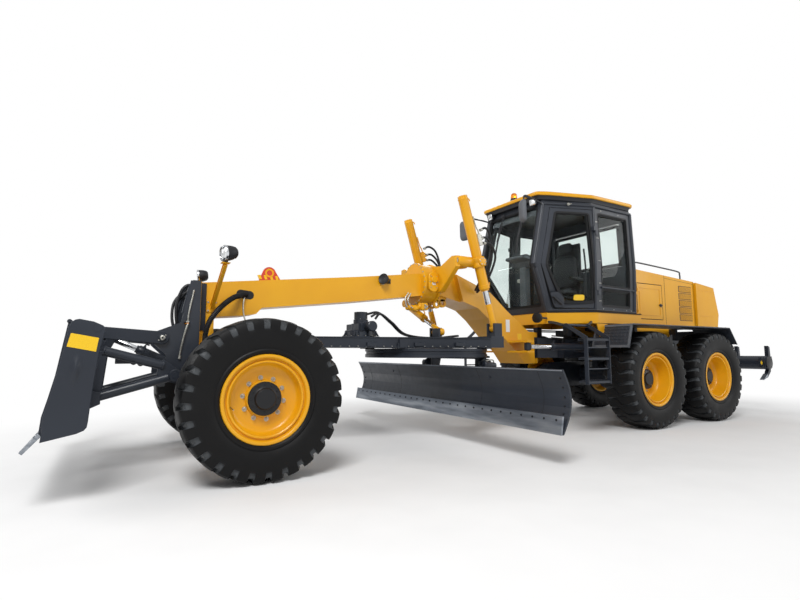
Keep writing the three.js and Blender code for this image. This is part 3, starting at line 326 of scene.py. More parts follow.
def enamel(name, dark, light, roughness, coat):
    """Polyurethane enamel sprayed on steel plate: even colour, faint orange peel, gloss that drifts a little."""
    return finish(name, ((700, 3.0), 0.3, 0.7, dark, light), ((90, 5.0), 0.35, 0.7, roughness, roughness + 0.1),
                  ((9, 1.0), 0.12, 0.0006), Coat_Weight=coat, Coat_Roughness=0.12, IOR=1.5, Specular_IOR_Level=0.35)


YELLOW_TONES, SLATE_TONES = ("#DB9A0C", "#E6A814"), ("#1F242D", "#282E38")
YELLOW = enamel("machine_yellow_enamel", *YELLOW_TONES, 0.34, 0.2)
SLATE = enamel("slate_grey_enamel", *SLATE_TONES, 0.4, 0.12)
CAB_GREY = enamel("cab_frame_grey_enamel", "#2A2E35", "#33373F", 0.42, 0.12)
BLACK_ENAMEL = enamel("satin_black_enamel", "#0C0D10", "#121317", 0.4, 0.1)


def moulded(name, dark, light, roughness, grain, depth, shine=0.4):
    """Moulded polymer or rubber: matt, with a fine leathery grain from the mould."""
    cloud = (160, 4.0)
    return finish(name, (cloud, 0.35, 0.7, dark, light), (cloud, 0.3, 0.7, roughness - 0.06, roughness + 0.06),
                  ((grain, 0), 0.25, depth), IOR=1.5, Specular_IOR_Level=shine)


TYRE = moulded("vulcanised_tyre_rubber", "#050506", "#0A0A0B", 0.5, 7, 0.0006, 0.22)


def dust_and_sheen_in_grooves(material):
    """Tyre rubber lighter grey in its grooves, partly road dust and partly a painted highlight: colour = mix(rubber,
    grey, groove attribute * a cloudy noise).
    """
    tree = material.node_tree
    shader = tree.nodes["Principled BSDF"]
    rubber = shader.inputs["Base Color"].links[0].from_socket
    deep = node(tree, "ShaderNodeAttribute", attribute_name="groove").outputs["Fac"]
    place = node(tree, "ShaderNodeTexCoord").outputs["Object"]
    cloud = node(tree, "ShaderNodeTexNoise", {"Vector": place, "Scale": per_metre(60), "Detail": 4.0})
    patchy = node(tree, "ShaderNodeMapRange", {"Value": cloud.outputs["Fac"], "From Min": 0.25, "From Max": 0.65,
                                               "To Min": 0.55, "To Max": 1.0})
    share = node(tree, "ShaderNodeMath", {0: deep, 1: patchy.outputs["Result"]}, operation="MULTIPLY").outputs[0]
    # grey mixed into the grooves: road dust, and a painted highlight where the lug sides catch light
    mixed = node(tree, "ShaderNodeMix", {"Factor": share, "B": linear("#4B4E51")}, data_type="RGBA")
    tree.links.new(rubber, mixed.inputs["A"])
    tree.links.new(mixed.outputs["Result"], shader.inputs["Base Color"])


dust_and_sheen_in_grooves(TYRE)
HOSE = moulded("hydraulic_hose_rubber", "#141518", "#1E1F23", 0.5, 5, 0.0006)
PLASTIC = moulded("moulded_black_polypropylene", "#15161A", "#202126", 0.5, 4, 0.0005)
SEAL = moulded("extruded_window_rubber", "#0D0E10", "#141518", 0.62, 6, 0.0004)
TRIM = moulded("grey_cab_trim_plastic", "#54575C", "#62656B", 0.6, 5, 0.0005)
VINYL = moulded("embossed_seat_vinyl", "#1B1C20", "#26272C", 0.5, 4, 0.0008)


def metal(name, colour, worn, roughness, stretch=()):
    """Bare metal: colour from the alloy, fine drawn streaks in its roughness and height."""
    lines = (20, 4.0)
    return finish(name, (lines, 0.3, 0.7, worn, colour), (lines, 0.3, 0.7, roughness, roughness + 0.14),
                  (lines, 0.15, 0.0005), stretch, Metallic=1.0)


CHROME = metal("hard_chrome_rod", "#E4E6E8", "#C9CCD0", 0.1)
ZINC = metal("zinc_plated_steel", "#C6C5BE", "#9E9C93", 0.32)
EDGE_STEEL = metal("rolled_edge_steel", "#A9AEB4", "#7D838B", 0.34, (1.0, 0.06, 1.0))
BRIGHT = metal("silvered_reflector", "#F1F2F2", "#DADCDD", 0.12)


def clear(name, colour, roughness, ior):
    """Clear glass or acrylic: light goes through, edges take the tint, dust shows as a faint drift in gloss."""
    haze = (350, 4.0)
    return finish(name, (haze, 0.3, 0.7, *colour), (haze, 0.4, 0.8, roughness, roughness * 1.6),
                  Transmission_Weight=1.0, IOR=ior)


GLASS = clear("tinted_safety_glass", ("#E6EEEC", "#EEF4F2"), 0.0, 1.12)
AMBER = clear("amber_acrylic", ("#F08A10", "#F59A1E"), 0.08, 1.45)
RED_LENS = clear("red_acrylic", ("#A01512", "#B51D18"), 0.1, 1.45)


def printed(name, dark, light):
    """Reflective vinyl film on a plate: smooth, with the faint honeycomb of its bead cells."""
    return finish(name, ((5, 0), 0.1, 0.7, light, dark), Roughness=0.35, Coat_Weight=0.4)


PLATE_YELLOW = printed("blank_yellow_plate_film", "#E6B800", "#F2C713")
PLATE_WHITE = printed("blank_white_plate_film", "#D9DADB", "#E6E7E8")
PLATE_RED = printed("signal_red_film", "#C23A22", "#D2472C")


def floor_paint():
    """Seamless studio card: matt off-white near the machine, going over to plain white light farther out.

    The share of white is how far a point lies from the machine's long axis, its own length shortened by 0.6.
    """
    material = finish("matt_studio_card", ((500, 2.0), 0.3, 0.7, "#F4F4F4", "#F8F8F8"), Roughness=0.9)
    tree = material.node_tree
    shader = tree.nodes["Principled BSDF"]
    place = node(tree, "ShaderNodeTexCoord").outputs["Object"]
    squeezed = node(tree, "ShaderNodeVectorMath", {0: place, 1: (0.6, 1.0, 0.0)}, operation="MULTIPLY")
    apart = node(tree, "ShaderNodeVectorMath", {0: squeezed.outputs["Vector"]}, operation="LENGTH")
    fade = node(tree, "ShaderNodeMapRange", {"Value": apart.outputs["Value"], "From Min": 2.6, "From Max": 5.6},
                interpolation_type="SMOOTHSTEP")
    white = node(tree, "ShaderNodeEmission", {"Color": (1, 1, 1, 1), "Strength": 1.0})
    mixed = node(tree, "ShaderNodeMixShader", {0: fade.outputs["Result"], 1: shader.outputs["BSDF"],
                                               2: white.outputs["Emission"]})
    tree.links.new(mixed.outputs["Shader"], tree.nodes["Material Output"].inputs["Surface"])
    return material


# ---------------------------------------------------------------- camera, light, floor

scene = bpy.context.scene
scene.view_settings.view_transform = "Standard"

camera_data = bpy.data.cameras.new("camera")
camera_data.lens = 21.97
camera_data.sensor_width = 36
camera_data.clip_end = 200
camera = bpy.data.objects.new("camera", camera_data)
camera.location = (4.8815, 5.2881, 1.0513)
camera.rotation_euler = (math.radians(96.061), math.radians(0.078), math.radians(149.604))
scene.collection.objects.link(camera)
scene.camera = camera


def studio():
    """A wide floor card, a white world for what the camera, glass and metal see, and four soft area lamps."""
    world = bpy.data.worlds.new("studio")
    scene.world = world
    world.use_nodes = True
    tree = world.node_tree
    background = tree.nodes["Background"]
    rays = node(tree, "ShaderNodeLightPath")
    seen = node(tree, "ShaderNodeMath", {0: rays.outputs["Is Camera Ray"], 1: rays.outputs["Is Transmission Ray"]},
                operation="MAXIMUM")
    shone = node(tree, "ShaderNodeMath", {0: rays.outputs["Is Glossy Ray"], 1: 0.5}, operation="MULTIPLY")
    seen = node(tree, "ShaderNodeMath", {0: seen.outputs[0], 1: shone.outputs[0]}, operation="MAXIMUM")
    strength = node(tree, "ShaderNodeMapRange", {"Value": seen.outputs[0], "To Min": 0.3, "To Max": 1.0})
    background.inputs["Color"].default_value = (1, 1, 1, 1)
    tree.links.new(strength.outputs["Result"], background.inputs["Strength"])

    floor_mesh = bpy.data.meshes.new("studio_floor")
    reach = 60.0
    floor_mesh.from_pydata([(-reach, -reach, 0), (reach, -reach, 0), (reach, reach, 0), (-reach, reach, 0)], [],
                           [(0, 1, 2, 3)])
    floor_mesh.materials.append(floor_paint())
    floor = bpy.data.objects.new("studio_floor", floor_mesh)
    scene.collection.objects.link(floor)

    for name, at, aim, power, size in (("key", (7, 7, 9), (0, 0, 1), 900, 4),
                                       ("fill", (-9, 8, 6), (-2, 0, 1.2), 340, 6),
                                       ("front", (11, -3, 5), (2, 0, 1), 240, 4),
                                       ("back", (-6, -9, 8), (-1, 0, 1), 300, 5)):
        data = bpy.data.lights.new(name, "AREA")
        data.energy, data.size = power, size
        lamp = bpy.data.objects.new(name, data)
        lamp.location = at
        lamp.rotation_euler = (Vector(aim) - Vector(at)).to_track_quat("-Z", "Y").to_euler()
        scene.collection.objects.link(lamp)


studio()


# ---------------------------------------------------------------- carried-over solids

def finish_node(name, material, bevel=5.0):
    """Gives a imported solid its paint, and rounds its sharp edges with a small live bevel."""
    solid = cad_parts[name]
    solid.data.materials.clear()
    solid.data.materials.append(material)
    for kind, settings in (("WELD", {"merge_threshold": 0.0001}),
                           ("DECIMATE", {"decimate_type": "DISSOLVE", "angle_limit": math.radians(0.5)}),
                           ("BEVEL", {"width": bevel / 1000, "segments": 2, "limit_method": "ANGLE",
                                      "angle_limit": math.radians(32), "harden_normals": True,
                                      "use_clamp_overlap": True})):
        if kind != "WELD" and not bevel:
            continue
        modifier = solid.modifiers.new(kind.lower(), kind)
        for key, value in settings.items():
            setattr(modifier, key, value)


for names, material, bevel in (
        # rear frame and tandem axle in dark slate enamel: painted shade, for the dark they lie in between the tyres
        (("rear_frame", "tandem_axle"), SLATE, 6),
        (("engine_hood", "radiator_cowl", "hood_door_left", "hood_door_right", "front_frame"), YELLOW, 6),
        (("cab_shell", "cab_door_left", "cab_door_right"), CAB_GREY, 4),
        (("fender_left", "fender_right"), CAB_GREY, 3),
        (("front_axle", "steering_knuckle_left", "steering_knuckle_right", "drawbar", "blade_bracket", "moldboard",
          "ripper", "engine"), SLATE, 5),
        (("cutting_edge", "tie_rod"), EDGE_STEEL, 2),
        (("windscreen", "door_glass_left", "door_glass_right"), GLASS, 0),
        (("steering_console",), PLASTIC, 5)):
    for name in names:
        finish_node(name, material, bevel)


# ---------------------------------------------------------------- wheels

WHEELBASE, SPACING, TYRE_HALF, AXLE_Z = 6160.0, 1557.0, 222.5, 669.2
WHEELS = {"front": (0.0, 1090.0, 62.0), "middle": (-WHEELBASE + SPACING / 2, 1052.0, -30.0),
          "rear": (-WHEELBASE - SPACING / 2, 1052.0, -30.0)}
PITCHES = 28


def tyre_shape():
    """Carcass and tread in one grid. Rows go round the section from bead to bead; columns go round the wheel.

    A column's angle is (pitch + share + lean(y)) / 28 turns: lean swings the grooves in a wave across the
    tread and sets the two halves half a pitch apart. Radius = crown(y) less the groove's depth, which is full in
    the first share of a pitch, nothing on the block, and fades out down the shoulder.
    """
    side = np.array([(332, 150), (338, 168), (356, 176), (372, 182), (384, 196), (398, 200), (410, 194), (430, 205),
                     (470, 216), (505, 220), (532, 221), (560, 219), (578, 219), (600, 216), (622, 212), (642, 204),
                     (652, 190), (658, 168), (662, 135), (665, 95), (666.6, 50), (667, 18), (667, 6)], float)
    rows = np.concatenate([side, side[::-1] * (1, -1)])
    radius, y = rows.T
    half_groove = np.interp(np.abs(y), [0, 30, 120, 205], [0.06, 0.085, 0.13, 0.21])
    share = np.array([-1.0, -0.86, -0.55, 0.55, 0.86, 1.0])
    wide = half_groove[:, None] * share
    rest = np.linspace(0, 1, 7)[1:-1]
    shares = np.concatenate([wide, half_groove[:, None] + rest * (1 - 2 * half_groove[:, None])], 1)
    groove = np.concatenate([np.broadcast_to([0.0, 0.72, 1.0, 1.0, 0.72, 0.0], wide.shape),
                             np.zeros((len(y), len(rest)))], 1)
    lean = 0.25 * np.tanh(y / 22) + 0.1 * np.sin(np.abs(y) / 205 * np.pi * 1.6) * np.sign(y)
    on_tread = np.interp(radius, [575, 592, 625], [0, 0.8, 1])
    depth = 33 * groove * on_tread[:, None]
    crown_block = np.concatenate([np.zeros(6), np.sin(rest * np.pi) * 2.0])
    angle = (np.arange(PITCHES)[:, None, None] + shares + lean[:, None]) / PITCHES * TURN
    angle = np.moveaxis(angle, 0, 1).reshape(len(y), -1)
    grown = np.tile(radius[:, None] + crown_block * on_tread[:, None] - depth, (1, PITCHES))
    across = np.tile(np.sign(y)[:, None] * np.minimum(TYRE_HALF, np.abs(y)[:, None] - 0.45 * depth *
                     np.interp(radius, [600, 650], [1, 0])[:, None]), (1, PITCHES))
    grid = np.stack([grown * np.sin(angle), across, grown * np.cos(angle)], -1)
    return skin(grid, around_u=True, caps=False), np.tile(np.clip(depth / 26, 0, 1), (1, PITCHES)).reshape(-1)


def rim_shape(dish):
    """The wheel turned about its axle: flange, lock ring and gutter outside, drop centre, disc and hub flange."""
    outer = [(0, dish + 40), (146, dish + 40), (150, dish + 12), (156, dish + 6), (225, dish + 2), (262, dish + 8),
             (282, dish + 26), (291, dish + 52), (293, 150), (296, 164), (303, 169), (311, 168), (316, 161),
             (320, 152), (327, 152), (331, 162), (333, 176), (339, 185), (350, 189), (361, 187), (367, 180),
             (368, 172), (364, 167), (346, 164), (334, 158), (330, 148), (330, -148), (334, -158), (346, -164),
             (364, -167), (368, -172), (367, -180), (361, -187), (350, -189), (339, -185), (333, -172),
             (318, -160), (306, -120), (302, dish - 30), (250, dish - 16), (150, dish - 12), (140, dish - 30),
             (130, dish - 58), (0, dish - 58)]
    return turned([(max(r, TIP), y) for r, y in outer], 96)


def hub_shape(dish):
    """Hub housing and cap in front of the disc, each a turned profile with a ring of small cap screws."""
    housing = turned([(TIP, dish + 30), (138, dish + 30), (139, dish + 52), (134, dish + 58), (96, dish + 62),
                      (90, dish + 66),
                      (86, dish + 82), (80, dish + 87), (40, dish + 88), (TIP, dish + 88)], 64)
    screws = bolts(ring_of((0, 0), 114, 12, dish + 60), (0, 1, 0), 8)
    return joined(housing, screws)


def wheel_nuts(dish):
    """Ten hexagon nuts with stud ends on a circle of 172 mm radius, and the tyre valve's bent stem."""
    places = ring_of((0, 0), 172, 10, dish + 4, start=0.15)
    stud = turned([(6.5, 0), (6.5, 30), (5, 32)], 10, (0, 0, 1))
    frames = np.broadcast_to(basis((0, 1, 0)), (10, 3, 3))
    stem = pipe([(262, dish + 6, -60), (266, dish + 36, -60), (262, dish + 70, -66), (256, dish + 92, -74)], 5, 8, 12)
    return joined(bolts(places, (0, 1, 0), 20), repeated(stud, places, frames), stem)


TREAD, GROOVE = tyre_shape()
for axle, (x, y, dish) in WHEELS.items():
    parts = {"tyre": TREAD, "rim": rim_shape(dish), "hub": hub_shape(dish), "nuts": wheel_nuts(dish)}
    for side, sign in (("left", 1), ("right", -1)):
        for part, material in (("tyre", TYRE), ("rim", YELLOW), ("hub", BLACK_ENAMEL), ("nuts", ZINC)):
            shape = parts[part] if sign > 0 else mirrored(parts[part])
            made = piece(f"{axle}_{side}_{part}_finish", moved(shape, (x, sign * y, AXLE_Z)), material,
                         f"{axle}_{side}_wheel", 30 if part == "tyre" else 38)
            if part == "tyre":
                made.data.attributes.new("groove", "FLOAT", "POINT").data.foreach_set("value", GROOVE)
            if part in ("tyre", "rim"):
                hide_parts(f"{axle}_{side}_{part}")


# ---------------------------------------------------------------- hydraulic cylinders

def between(start, end, share):
    """The point start + share * (end - start)."""
    start, end = np.asarray(start, float), np.asarray(end, float)
    return start + share * (end - start)


def barrel_shape(start, end, outer, bore):
    """A cylinder tube from its cap to its gland: weld collar, gland nut, wiper lip and a bore 60 mm deep."""
    length = np.linalg.norm(np.subtract(end, start))
    profile = [(TIP, 0), (outer * 0.82, 0), (outer * 0.98, 7), (outer * 0.98, 34), (outer * 1.04, 38),
               (outer * 1.04, 52), (outer, 57), (outer, length - 74), (outer * 1.08, length - 70),
               (outer * 1.08, length - 26), (outer * 0.98, length - 20), (outer * 0.86, length - 19),
               (outer * 0.84, length), (bore, length), (bore, length - 60), (TIP, length - 60)]
    return turned(profile, 40, np.subtract(end, start) / length, start)


def port(at, along, out, radius, rise):
    """A welded boss on a barrel with a hose elbow: a turned boss, then a pipe bent round to run along it."""
    at, along, out = (np.asarray(v, float) for v in (at, along, out))
    boss = turned([(TIP, 0), (radius * 1.5, 0), (radius * 1.5, rise * 0.5), (radius * 1.2, rise * 0.6),
                   (radius * 1.2, rise), (TIP, rise)], 18, out, at)
    path = [at + out * rise * 0.9, at + out * (rise + radius), at + out * (rise + radius * 1.8) + along * radius,
            at + out * (rise + radius * 2) + along * radius * 3.4]
    return joined(boss, pipe(path, radius * 0.8, 12, 9))


def rod_shape(start, end, radius):
    """A piston rod with a chamfered shoulder at each end."""
    length = np.linalg.norm(np.subtract(end, start))
    profile = [(TIP, 0), (radius - 2, 0), (radius, 3), (radius, length - 4), (radius - 4, length), (TIP, length)]
    return turned(profile, 36, np.subtract(end, start) / length, start)


def rod_eye(at, axis, outer, half, pin):
    """A forged eye round its pin: a rounded ring, and a pin whose chamfered heads stand 8 mm out of it."""
    axis = np.asarray(axis, float)
    ring = turned([(pin, -half), (outer - 5, -half), (outer, -half + 5), (outer, half - 5), (outer - 5, half),
                   (pin, half)],
                  36, axis, at, hollow=True)
    shaft = turned([(TIP, -half - 8), (pin * 0.8, -half - 8), (pin, -half - 5), (pin, half + 5),
                    (pin * 0.8, half + 8),
                    (TIP, half + 8)], 28, axis, at)
    return joined(ring, shaft)


def hung_ram(stem, side, foot, top, barrel, rod, rod_end, barrel_end, paint, sleeve=None):
    """Builds and names the visual pieces of one cylinder, each riding on its own body and standing for its node."""
    suffix = f"_{side}" if side else ""
    foot, top = np.asarray(foot, float), np.asarray(top, float)
    along = (top - foot) / np.linalg.norm(top - foot)
    upward = np.array([0, 0, 1.0]) - along * along[2]
    upward = upward / np.linalg.norm(upward)
    head, cap = between(foot, top, barrel[0]), between(foot, top, barrel[1])
    tube = barrel_shape(cap, head, barrel[2], rod[2] + 2)
    toward_cap = (cap - head) / np.linalg.norm(cap - head)
    tube = joined(tube, port(head + toward_cap * 60 + upward * (barrel[2] - 2), toward_cap, upward, 9, 18),
                  port(cap - toward_cap * 50 + upward * (barrel[2] - 2), -toward_cap, upward, 9, 18))
    if barrel_end:
        tube = joined(tube, rod_eye(*barrel_end))
    made = piece(f"{stem}_barrel{suffix}_finish", tube, paint, f"{stem}_barrel{suffix}")
    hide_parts(f"{stem}_barrel{suffix}")
    shaft = rod_shape(between(foot, top, rod[0]), between(foot, top, rod[1]), rod[2])
    made = piece(f"{stem}_rod{suffix}_finish", shaft, CHROME, f"{stem}_rod{suffix}")
    end = rod_eye(*rod_end)
    if sleeve:
        low, high, radius = sleeve
        bottom, upper = between(foot, top, low), between(foot, top, high)
        length = np.linalg.norm(upper - bottom)
        cover = turned([(TIP, 0), (radius * 1.1, 0), (radius * 1.1, 40), (radius, 52), (radius, length - 8),
                        (radius - 4, length), (TIP, length)], 32, (upper - bottom) / length, bottom)
        end = joined(end, cover)
    end_piece = piece(f"{stem}_rod{suffix}_eye", end, paint, f"{stem}_rod{suffix}")
    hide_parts(f"{stem}_rod{suffix}")


TRUNNION, LIFT_FOOT, LIFT_Y = (-2745.0, 2150.0), (-2980.0, 1340.0), 640.0
for side, sign in (("left", 1), ("right", -1)):
    foot, top = (LIFT_FOOT[0], sign * LIFT_Y, LIFT_FOOT[1]), (TRUNNION[0], sign * LIFT_Y, TRUNNION[1])
    hung_ram("lift", side, foot, top, (0.57, 2.0, 62), (0.2, 0.9, 37),
             (foot, (0, 1, 0), 50, 37, 24), None, YELLOW, (0.04, 0.37, 40))
    hung_ram("articulation", side, (-3700, sign * 480, 1120), (-4900, sign * 480, 1120), (0.36, 0.98, 48),
             (0.04, 0.44, 29),
             ((-3700, sign * 480, 1120), (0, 0, 1), 46, 50, 24), ((-4900, sign * 480, 1120), (0, 0, 1), 46, 50, 24),
             SLATE)
hung_ram("shift", "", (-2300, 450, 1290), (-2300, -360, 1700), (0.4, 0.98, 45), (0.05, 0.6, 27),
         ((-2300, 450, 1290), (1, 0, 0), 43, 34, 20), ((-2306, -360, 1700), (1, 0, 0), 48, 42, 22), YELLOW,
         (0.03, 0.2, 31))
hung_ram("dozer", "", (1110, 0, 1178), (560, 0, 920), (0.36, 0.97, 42), (0.04, 0.5, 27),
         ((1110, 0, 1178), (0, 1, 0), 42, 37, 20), ((560, 0, 920), (0, 1, 0), 45, 54, 22), SLATE)
hung_ram("ripper", "", (-8930, 0, 1060), (-8290, 0, 1330), (0.32, 0.97, 51), (0.04, 0.5, 29),
         ((-8930, 0, 1060), (0, 1, 0), 42, 37, 20), ((-8290, 0, 1330), (0, 1, 0), 45, 56, 22), SLATE)


# ---------------------------------------------------------------- lift cylinder tops: lock valves and hoses

def lift_valve(sign):
    """A lock valve block on the rear of a lift barrel, with its fittings and two steel pipes."""
    foot, top = np.array((LIFT_FOOT[0], sign * LIFT_Y, LIFT_FOOT[1])), np.array((TRUNNION[0], sign * LIFT_Y,
                                                                                 TRUNNION[1]))
    along = (top - foot) / np.linalg.norm(top - foot)
    back = np.cross(along, (0, 1, 0))
    back = back if back[0] < 0 else -back
    frame_ = np.stack([-back, np.array([0, 1.0, 0]), along], 1)
    at = between(foot, top, 1.32) + back * 88
    body = moved(block((-30, -34, -75), (30, 34, 75), 5), at, frame_)
    knobs = [moved(turned([(TIP, 0), (17, 0), (17, 26), (12, 30), (12, 44), (TIP, 44)], 12, (-1, 0, 0), (-28, y, z)),
                   at, frame_)
             for y, z in ((-14, 46), (14, 8), (-12, -40))]
    lines = [pipe([at + frame_ @ np.array(p) for p in path], 8, 10, 20) for path in (
        [(0, 30, 70), (4, 34, 120), (20, 34, 160), (26, 30, 300)],
        [(0, -30, -70), (6, -34, -110), (22, -30, -150), (26, -24, -260)])]
    return joined(body, *knobs, *lines)


def lift_hoses(sign):
    """Three hoses from the lock valve, over in a bow and down behind the barrel to the frame's bulkhead."""
    y = sign * LIFT_Y
    paths = [[(-2780, y, 2560), (-2870, y, 2600), (-2960, y - sign * 30, 2540), (-3010, y - sign * 60, 2380),
              (-3000, y - sign * 120, 2150), (-2950, y - sign * 220, 1960), (-2960, y - sign * 330, 1850)],
             [(-2800, y - sign * 20, 2470), (-2900, y - sign * 20, 2480), (-2985, y - sign * 40, 2400),
              (-3025, y - sign * 70, 2260), (-3010, y - sign * 140, 2060), (-2985, y - sign * 340, 1850)],
             [(-2820, y + sign * 10, 2400), (-2930, y + sign * 10, 2400), (-3040, y - sign * 20, 2280),
              (-3050, y - sign * 80, 2130), (-3020, y - sign * 180, 1950), (-3010, y - sign * 360, 1830)]]
    hoses = joined(*[pipe(p, 15, 12, 40) for p in paths])
    ends = joined(*[pipe(np.asarray(p[:2]) * [[1, 1, 1], [0.35, 0.35, 0.35]] + np.asarray(p[0]) *
                         [[0, 0, 0], [0.65, 0.65, 0.65]],
                         18, 12) for p in paths])
    return hoses, ends


for side, sign in (("left", 1), ("right", -1)):
    piece(f"lift_valve_{side}", lift_valve(sign), YELLOW if sign < 0 else ZINC, f"lift_barrel_{side}")
    hoses, ends = lift_hoses(sign)
    piece(f"lift_hoses_{side}", hoses, HOSE, "front_frame")
    piece(f"lift_hose_ends_{side}", ends, ZINC, "front_frame")
    yoke = joined(
        turned([(58, -62), (78, -62), (86, -54), (86, -20), (80, -12), (80, 12), (86, 20), (86, 54), (78, 62),
                (58, 62)], 48,
               np.subtract((TRUNNION[0], 0, TRUNNION[1]), (LIFT_FOOT[0], 0, LIFT_FOOT[1])) / 844.0,
               (TRUNNION[0], sign * LIFT_Y, TRUNNION[1]), hollow=True),
        turned([(TIP, 70), (56, 70), (56, 86), (50, 92), (30, 94), (TIP, 94)], 36, (0, sign, 0),
               (TRUNNION[0], sign * LIFT_Y, TRUNNION[1])))
    piece(f"lift_yoke_{side}", yoke, YELLOW, f"lift_barrel_{side}")
    screws = bolts(ring_of(TRUNNION, 40, 6, sign * (LIFT_Y + 92)), (0, sign, 0), 9)
    piece(f"lift_yoke_screws_{side}", screws, ZINC, f"lift_barrel_{side}")


# ---------------------------------------------------------------- lift saddle

SADDLE = (-2330.0, 1920.0)


def saddle_drum():
    """The drum round the beam: a turned barrel with a machined flange at each end and a shallow waist."""
    return turned([(TIP, -130), (262, -130), (268, -124), (268, -96), (252, -90), (252, 90), (268, 96), (268, 124),
                   (262, 130), (TIP, 130)], 72, (1, 0, 0), (SADDLE[0], 0, SADDLE[1]))


def saddle_arm():
    """One arm: a box girder from the drum to a bearing tube that lies along the machine, and a brace."""
    girder = slab([(150, 1790), (330, 1800), (640, 2075), (640, 2205), (560, 2212), (330, 2120), (120, 2140)],
                  -2470, -2390, "yz", 8)
    tube = turned([(TIP, 0), (62, 0), (66, 6), (66, 250), (60, 258), (TIP, 258)], 40, (-1, 0, 0), (-2432, 600, 2150))
    brace = slab([(-2680, 2095), (-2470, 2060), (-2400, 1990), (-2400, 2030), (-2470, 2200), (-2680, 2205)], 420, 500,
                 "xz", 6)
    return joined(girder, tube, brace)


def saddle_cover():
    """The oval cover plate on the drum's left, with its lock pin housing."""
    plate = slab(np.concatenate([disc_outline((-2318, 1975), (72, 72), 12, 0, TURN / 2),
                                 disc_outline((-2318, 1865), (72, 72), 12, TURN / 2, TURN / 2)]), 255, 292, "xz", 6)
    boss = turned([(TIP, 0), (44, 0), (44, 24), (38, 30), (TIP, 30)], 28, (0, 1, 0), (-2318, 290, 1950))
    return joined(plate, boss)


def towing_lug():
    """A towing lug under the drum: two eye rings joined by a web."""
    rings = [turned([(26, -14), (54, -14), (54, 14), (26, 14)], 32, (0, 1, 0), (x, 120, z), hollow=True)
             for x, z in ((-2470, 1660), (-2560, 1676))]
    web = slab([(-2600, 1700), (-2430, 1690), (-2400, 1760), (-2640, 1780)], 106, 134, "xz", 3)
    return joined(*rings, web)


saddle = joined(saddle_drum(), both(saddle_arm()), saddle_cover(), both(towing_lug()),
                slab([(-400, 1640), (-160, 1640), (-60, 1700), (-60, 1860), (-200, 1860), (-420, 1760)], -2368, -2352,
                     "yz", 4))
made = piece("lift_saddle_finish", saddle, YELLOW, "front_frame")
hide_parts("lift_saddle")
faces = [bolts(ring_of((0, SADDLE[1]), 259, 24, SADDLE[0] + s * 128, "yz"), (s, 0, 0), 11) for s in (1, -1)]
cover_ring = [(x, 290.0, z) for x, z in ((-2275, 1990), (-2360, 1990), (-2260, 1920), (-2376, 1920), (-2275, 1850),
                                         (-2360, 1850))]
caps = both(turned([(TIP, 0), (50, 0), (52, 3), (52, 10), (46, 14), (TIP, 14)], 36, (1, 0, 0), (-2432, 600, 2150)))
cap_screws = bolts(ring_of((600, 2150), 36, 6, -2419, "yz"), (1, 0, 0), 7)
piece("lift_saddle_bolts", joined(*faces, bolts(cover_ring, (0, 1, 0), 10), both(cap_screws), caps), ZINC,
      "front_frame")


def shift_bracket():
    """The curved casting that holds the shift cylinder's valve under the beam: a ribbed tray swept along an arc."""
    angle = np.linspace(-0.6, 0.9, 16)
    centre = np.stack([-2050 - 150 * np.sin(angle), np.full(16, 230.0), 1700 - 120 * np.cos(angle)], 1)
    return joined(pipe(centre, 34 + 9 * np.sin(angle * 9), 14, 0, (0, 1, 0)),
                  block((-2230, 190, 1560), (-2140, 290, 1650), 8),
                  turned([(TIP, 0), (30, 0), (30, 60), (20, 66), (TIP, 66)], 20, (1, 0, 0), (-2080, 235, 1590)))


piece("shift_bracket", shift_bracket(), YELLOW, "front_frame")
piece("shift_fittings", joined(bolts([(-2185, 292, 1620), (-2185, 292, 1590), (-2210, 292, 1605)], (0, 1, 0), 14),
                               pipe([(-2050, 250, 1580), (-1990, 260, 1600), (-1960, 250, 1680), (-2010, 235, 1760)],
                                    10, 10, 20),
                               pipe([(-2050, 225, 1570), (-1970, 235, 1580), (-1940, 225, 1690), (-1990, 215, 1770)],
                                    10, 10, 20)),
      ZINC, "front_frame")


# ---------------------------------------------------------------- front beam and nose

def two_paints(name, border):
    """Yellow enamel behind a plane across the machine and slate ahead of it: colour = mix(yellow, slate, x > border)."""
    material = finish(name, ((700, 3.0), 0.3, 0.7, *YELLOW_TONES), ((90, 5.0), 0.35, 0.7, 0.36, 0.46),
                      Coat_Weight=0.2, Coat_Roughness=0.12, IOR=1.5)
    tree = material.node_tree
    shader = tree.nodes["Principled BSDF"]
    yellow = shader.inputs["Base Color"].links[0].from_node
    drift = yellow.inputs["Fac"].links[0].from_socket
    slate = node(tree, "ShaderNodeValToRGB", {"Fac": drift}, tuple(zip((0.3, 0.7), SLATE_TONES)))
    place = node(tree, "ShaderNodeTexCoord").outputs["Object"]
    along = node(tree, "ShaderNodeSeparateXYZ", {"Vector": place}).outputs["X"]
    ahead = node(tree, "ShaderNodeMath", {0: along, 1: border}, operation="GREATER_THAN").outputs[0]
    mixed = node(tree, "ShaderNodeMix", {"Factor": ahead, "A": yellow.outputs["Color"], "B": slate.outputs["Color"]},
                 data_type="RGBA")
    tree.links.new(mixed.outputs["Result"], shader.inputs["Base Color"])
    return material


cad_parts["front_frame"].data.materials[0] = two_paints("beam_yellow_nose_slate_enamel", 4.171)


def beam_slot():
    """A dark sheet in the oblong cable hole in the beam's side: painted shade for the hole's depth."""
    outline = np.concatenate([disc_outline((-2, 1646), 44, 14, -TURN / 4, TURN / 2),
                              disc_outline((-92, 1636), 44, 14, TURN / 4, TURN / 2)])
    return slab(outline, 166, 174, "xz", 3)


def corrugated(path, radius, count):
    """Split loom tube: a pipe whose radius goes up and down as a square-ish wave, four points to a rib."""
    return pipe(smooth_path(path, count), radius + np.tile([3.0, 3.0, -3.0, -3.0], count // 4 + 1)[:count], 16)


